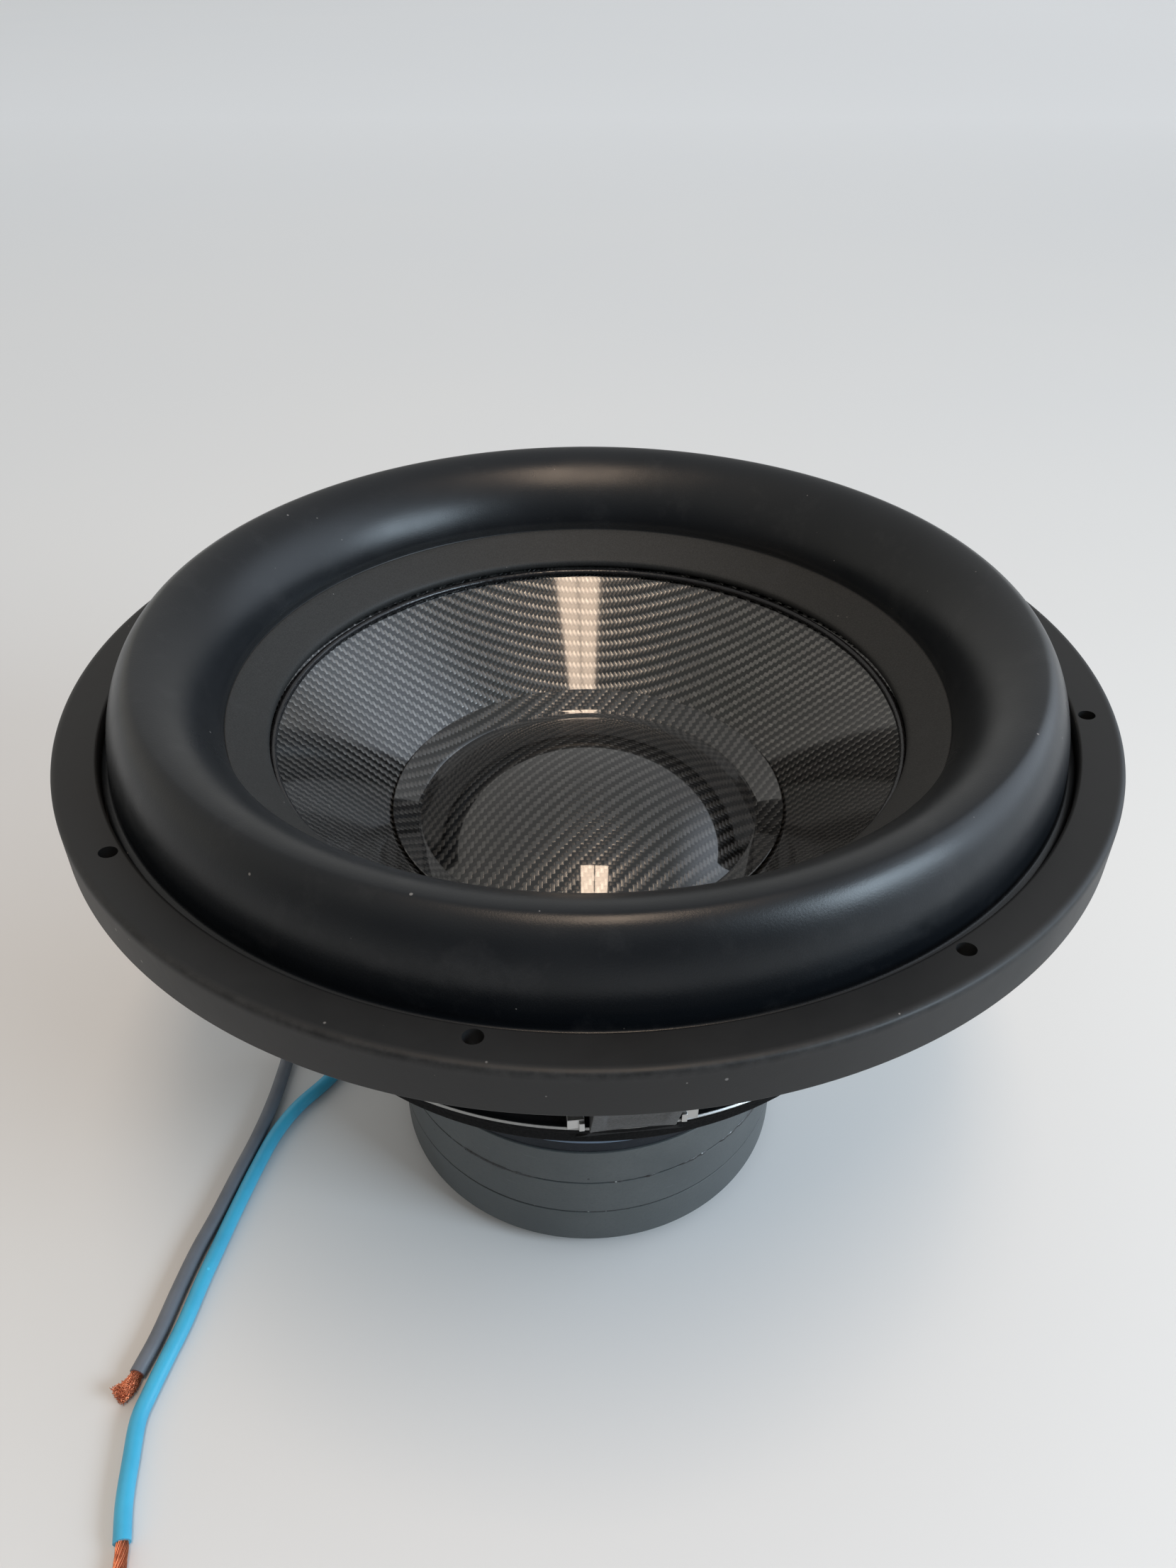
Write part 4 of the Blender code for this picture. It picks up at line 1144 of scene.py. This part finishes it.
def make_rings():
    """Plain turned rings: (node, body, slot, material, segments, easing radius and steps, outline)."""
    rings = [
        ("spider_spacer_ring", FIXED, "terminal_plastic", PLASTIC, 160, 0.6, 3,
         [(140.0, 176.0), (140.0, 167.8), (157.0, 167.8), (157.0, 176.0)]),
        ("voice_coil_former", MOVING, "former_film", FILM, 128, 0.2, 2,
         [(50.4, 188.0), (50.4, 56.0), (51.2, 56.0), (51.2, 188.0)]),
        ("voice_coil_inner", MOVING, "bare_copper", WINDING, 128, 0.3, 2,
         [(51.5, 118.0), (51.5, 58.0), (52.6, 58.0), (52.6, 118.0)]),
        ("voice_coil_outer", MOVING, "bare_copper", WINDING, 128, 0.3, 2,
         [(52.9, 118.0), (52.9, 58.0), (54.0, 58.0), (54.0, 118.0)]),
        ("neck_collar", MOVING, "black_adhesive", GLUE, 128, 0.5, 3,
         [(51.6, 180.0, 0.5), (51.6, 178.2, 0.3), (56.5, 178.2, 0.8), (56.5, 183.6, 0.8)]),
        ("shorting_ring", FIXED, "shorting_aluminium", ALLOY, 96, 0.4, 3,
         [(49.8, 22.0, 0.5), (49.8, 14.3, 0.3), (55.8, 14.3, 0.3), (55.8, 22.0, 0.5)]),
        ("pole_copper_cap", FIXED, "bare_copper", POLE_COPPER, 96, 0.4, 3,
         [(18.3, 99.5, 0.4), (18.3, 98.3, 0.2), (49.4, 98.3, 0.2), (49.4, 99.5, 0.5)]),
    ]
    for node, body, slot, mat, segments, radius, steps, outline in rings:
        ring = lathe(f"{node}_visual", rounded(outline, radius, steps), segments, mat)
        if node != "neck_collar":
            even(ring)
        finish(ring, body)


def make_tinsel():
    profile = [(59.5, 184.0), (72, 186.5), (90, 188), (112, 187)]
    profile += [(134, 188), (150, 190), (164, 189), (173, 185)]
    angles = [i * math.tau / 12 for i in range(12)]
    for name, side in (("grey", 1), ("blue", -1)):
        points = []
        for r, z in profile:
            spread = side * LEAD_OFFSET * (0.4 + 0.6 * r / 173)
            points.append(polar(r * MM, BLOCK_DEG, z * MM) + polar(spread, BLOCK_DEG + 90))
        line = evenly(catmull(points, 12), 2.0 * MM)
        lead = swept(f"tinsel_lead_{name}_visual", line, 1.15 * MM, angles, TINSEL)
        radial_blend(lead)
        finish(lead, None)


make_gasket()
make_surround()
make_cone()
make_motor()
make_vent_screen()
make_basket()
make_foot_screws()
make_terminals()
make_spiders()
make_rings()
make_tinsel()


# ---- floor, light
def make_floor():
    g = Surface("floor", 0.55)
    x, y, _ = g.split(g.at)
    pale = g.shade(g.noise(0.9, 3), (0.668, 0.660, 0.645), (0.640, 0.641, 0.639))
    # Painted light: the floor grows paler and bluer into the distance, most of all on the right, the window
    # side.
    painted_far_glow = g.times(g.span(y, 0.6, 4.0), g.span(x, -4.0, 3.0, 0.55, 1.0))
    mat = g.set(
        g.colour(painted_far_glow, pale, (0.965, 0.970, 0.980)),
        normal=g.bump(g.noise(60, 3), 0.0002, 0.15),
    )
    half = 20.0
    corners = [(-half, -half, 0), (half, -half, 0), (half, half, 0), (-half, half, 0)]
    floor = mesh_object("floor", corners, [(0, 1, 2, 3)], mat)
    floor.location.z = -0.0002


def make_world():
    """A pale room: bright walls and ceiling, a window's glow on the right, dimmer low down in front."""
    world = bpy.data.worlds.new("studio")
    world.use_nodes = True
    bpy.context.scene.world = world
    g = Graph(world.node_tree)
    back = world.node_tree.nodes["Background"].inputs
    x, y, z = g.split(g.add("TexCoord", {}).outputs["Generated"])
    height = g.span(z, -0.05, 0.9, 0.0, 1.0, "SMOOTHSTEP")
    wall = g.colour(height, (0.69, 0.69, 0.67), (0.58, 0.58, 0.575))
    side = g.span(x, -0.9, 0.9)
    wall = g.colour(1.0, wall, g.colour(side, (1.02, 0.99, 0.94), (0.99, 1.03, 1.09)), "MULTIPLY")
    toward = g.plus(g.times(x, 0.95), g.plus(g.times(y, 0.12), g.times(z, 0.28)))
    wall = g.colour(g.span(toward, 0.72, 0.97, kind="SMOOTHSTEP"), wall, (2.05, 2.30, 2.60))
    near = g.times(g.span(y, 0.1, -0.85, kind="SMOOTHSTEP"), g.span(z, 0.75, 0.25, kind="SMOOTHSTEP"))
    g.put(back["Color"], g.colour(near, wall, (0.20, 0.20, 0.205)))
    back["Strength"].default_value = 1.0


def area_light(name, place, size, colour, watts, target=None):
    data = bpy.data.lights.new(name, "AREA")
    data.shape = "RECTANGLE"
    data.size, data.size_y = size
    data.color = colour
    data.energy = watts
    obj = bpy.data.objects.new(name, data)
    obj.location = place
    if target is not None:
        direction = Vector(target) - Vector(place)
        obj.rotation_euler = direction.to_track_quat("-Z", "Y").to_euler()
    bpy.context.scene.collection.objects.link(obj)


def make_lights():
    warm, sky = (1.0, 0.77, 0.58), (0.70, 0.86, 1.0)
    for index, x in enumerate((-0.01, 0.215)):
        area_light(f"ceiling_tube_{index}", (x, -0.72, 2.50), (0.205, 1.20), warm, 11.5)
    area_light("window", (2.20, -1.15, 1.40), (1.20, 0.95), sky, 54, (0, 0, 0.3))


make_floor()
make_world()
make_lights()
bpy.context.scene.view_settings.view_transform = "Standard"
bpy.context.scene.view_settings.look = "None"
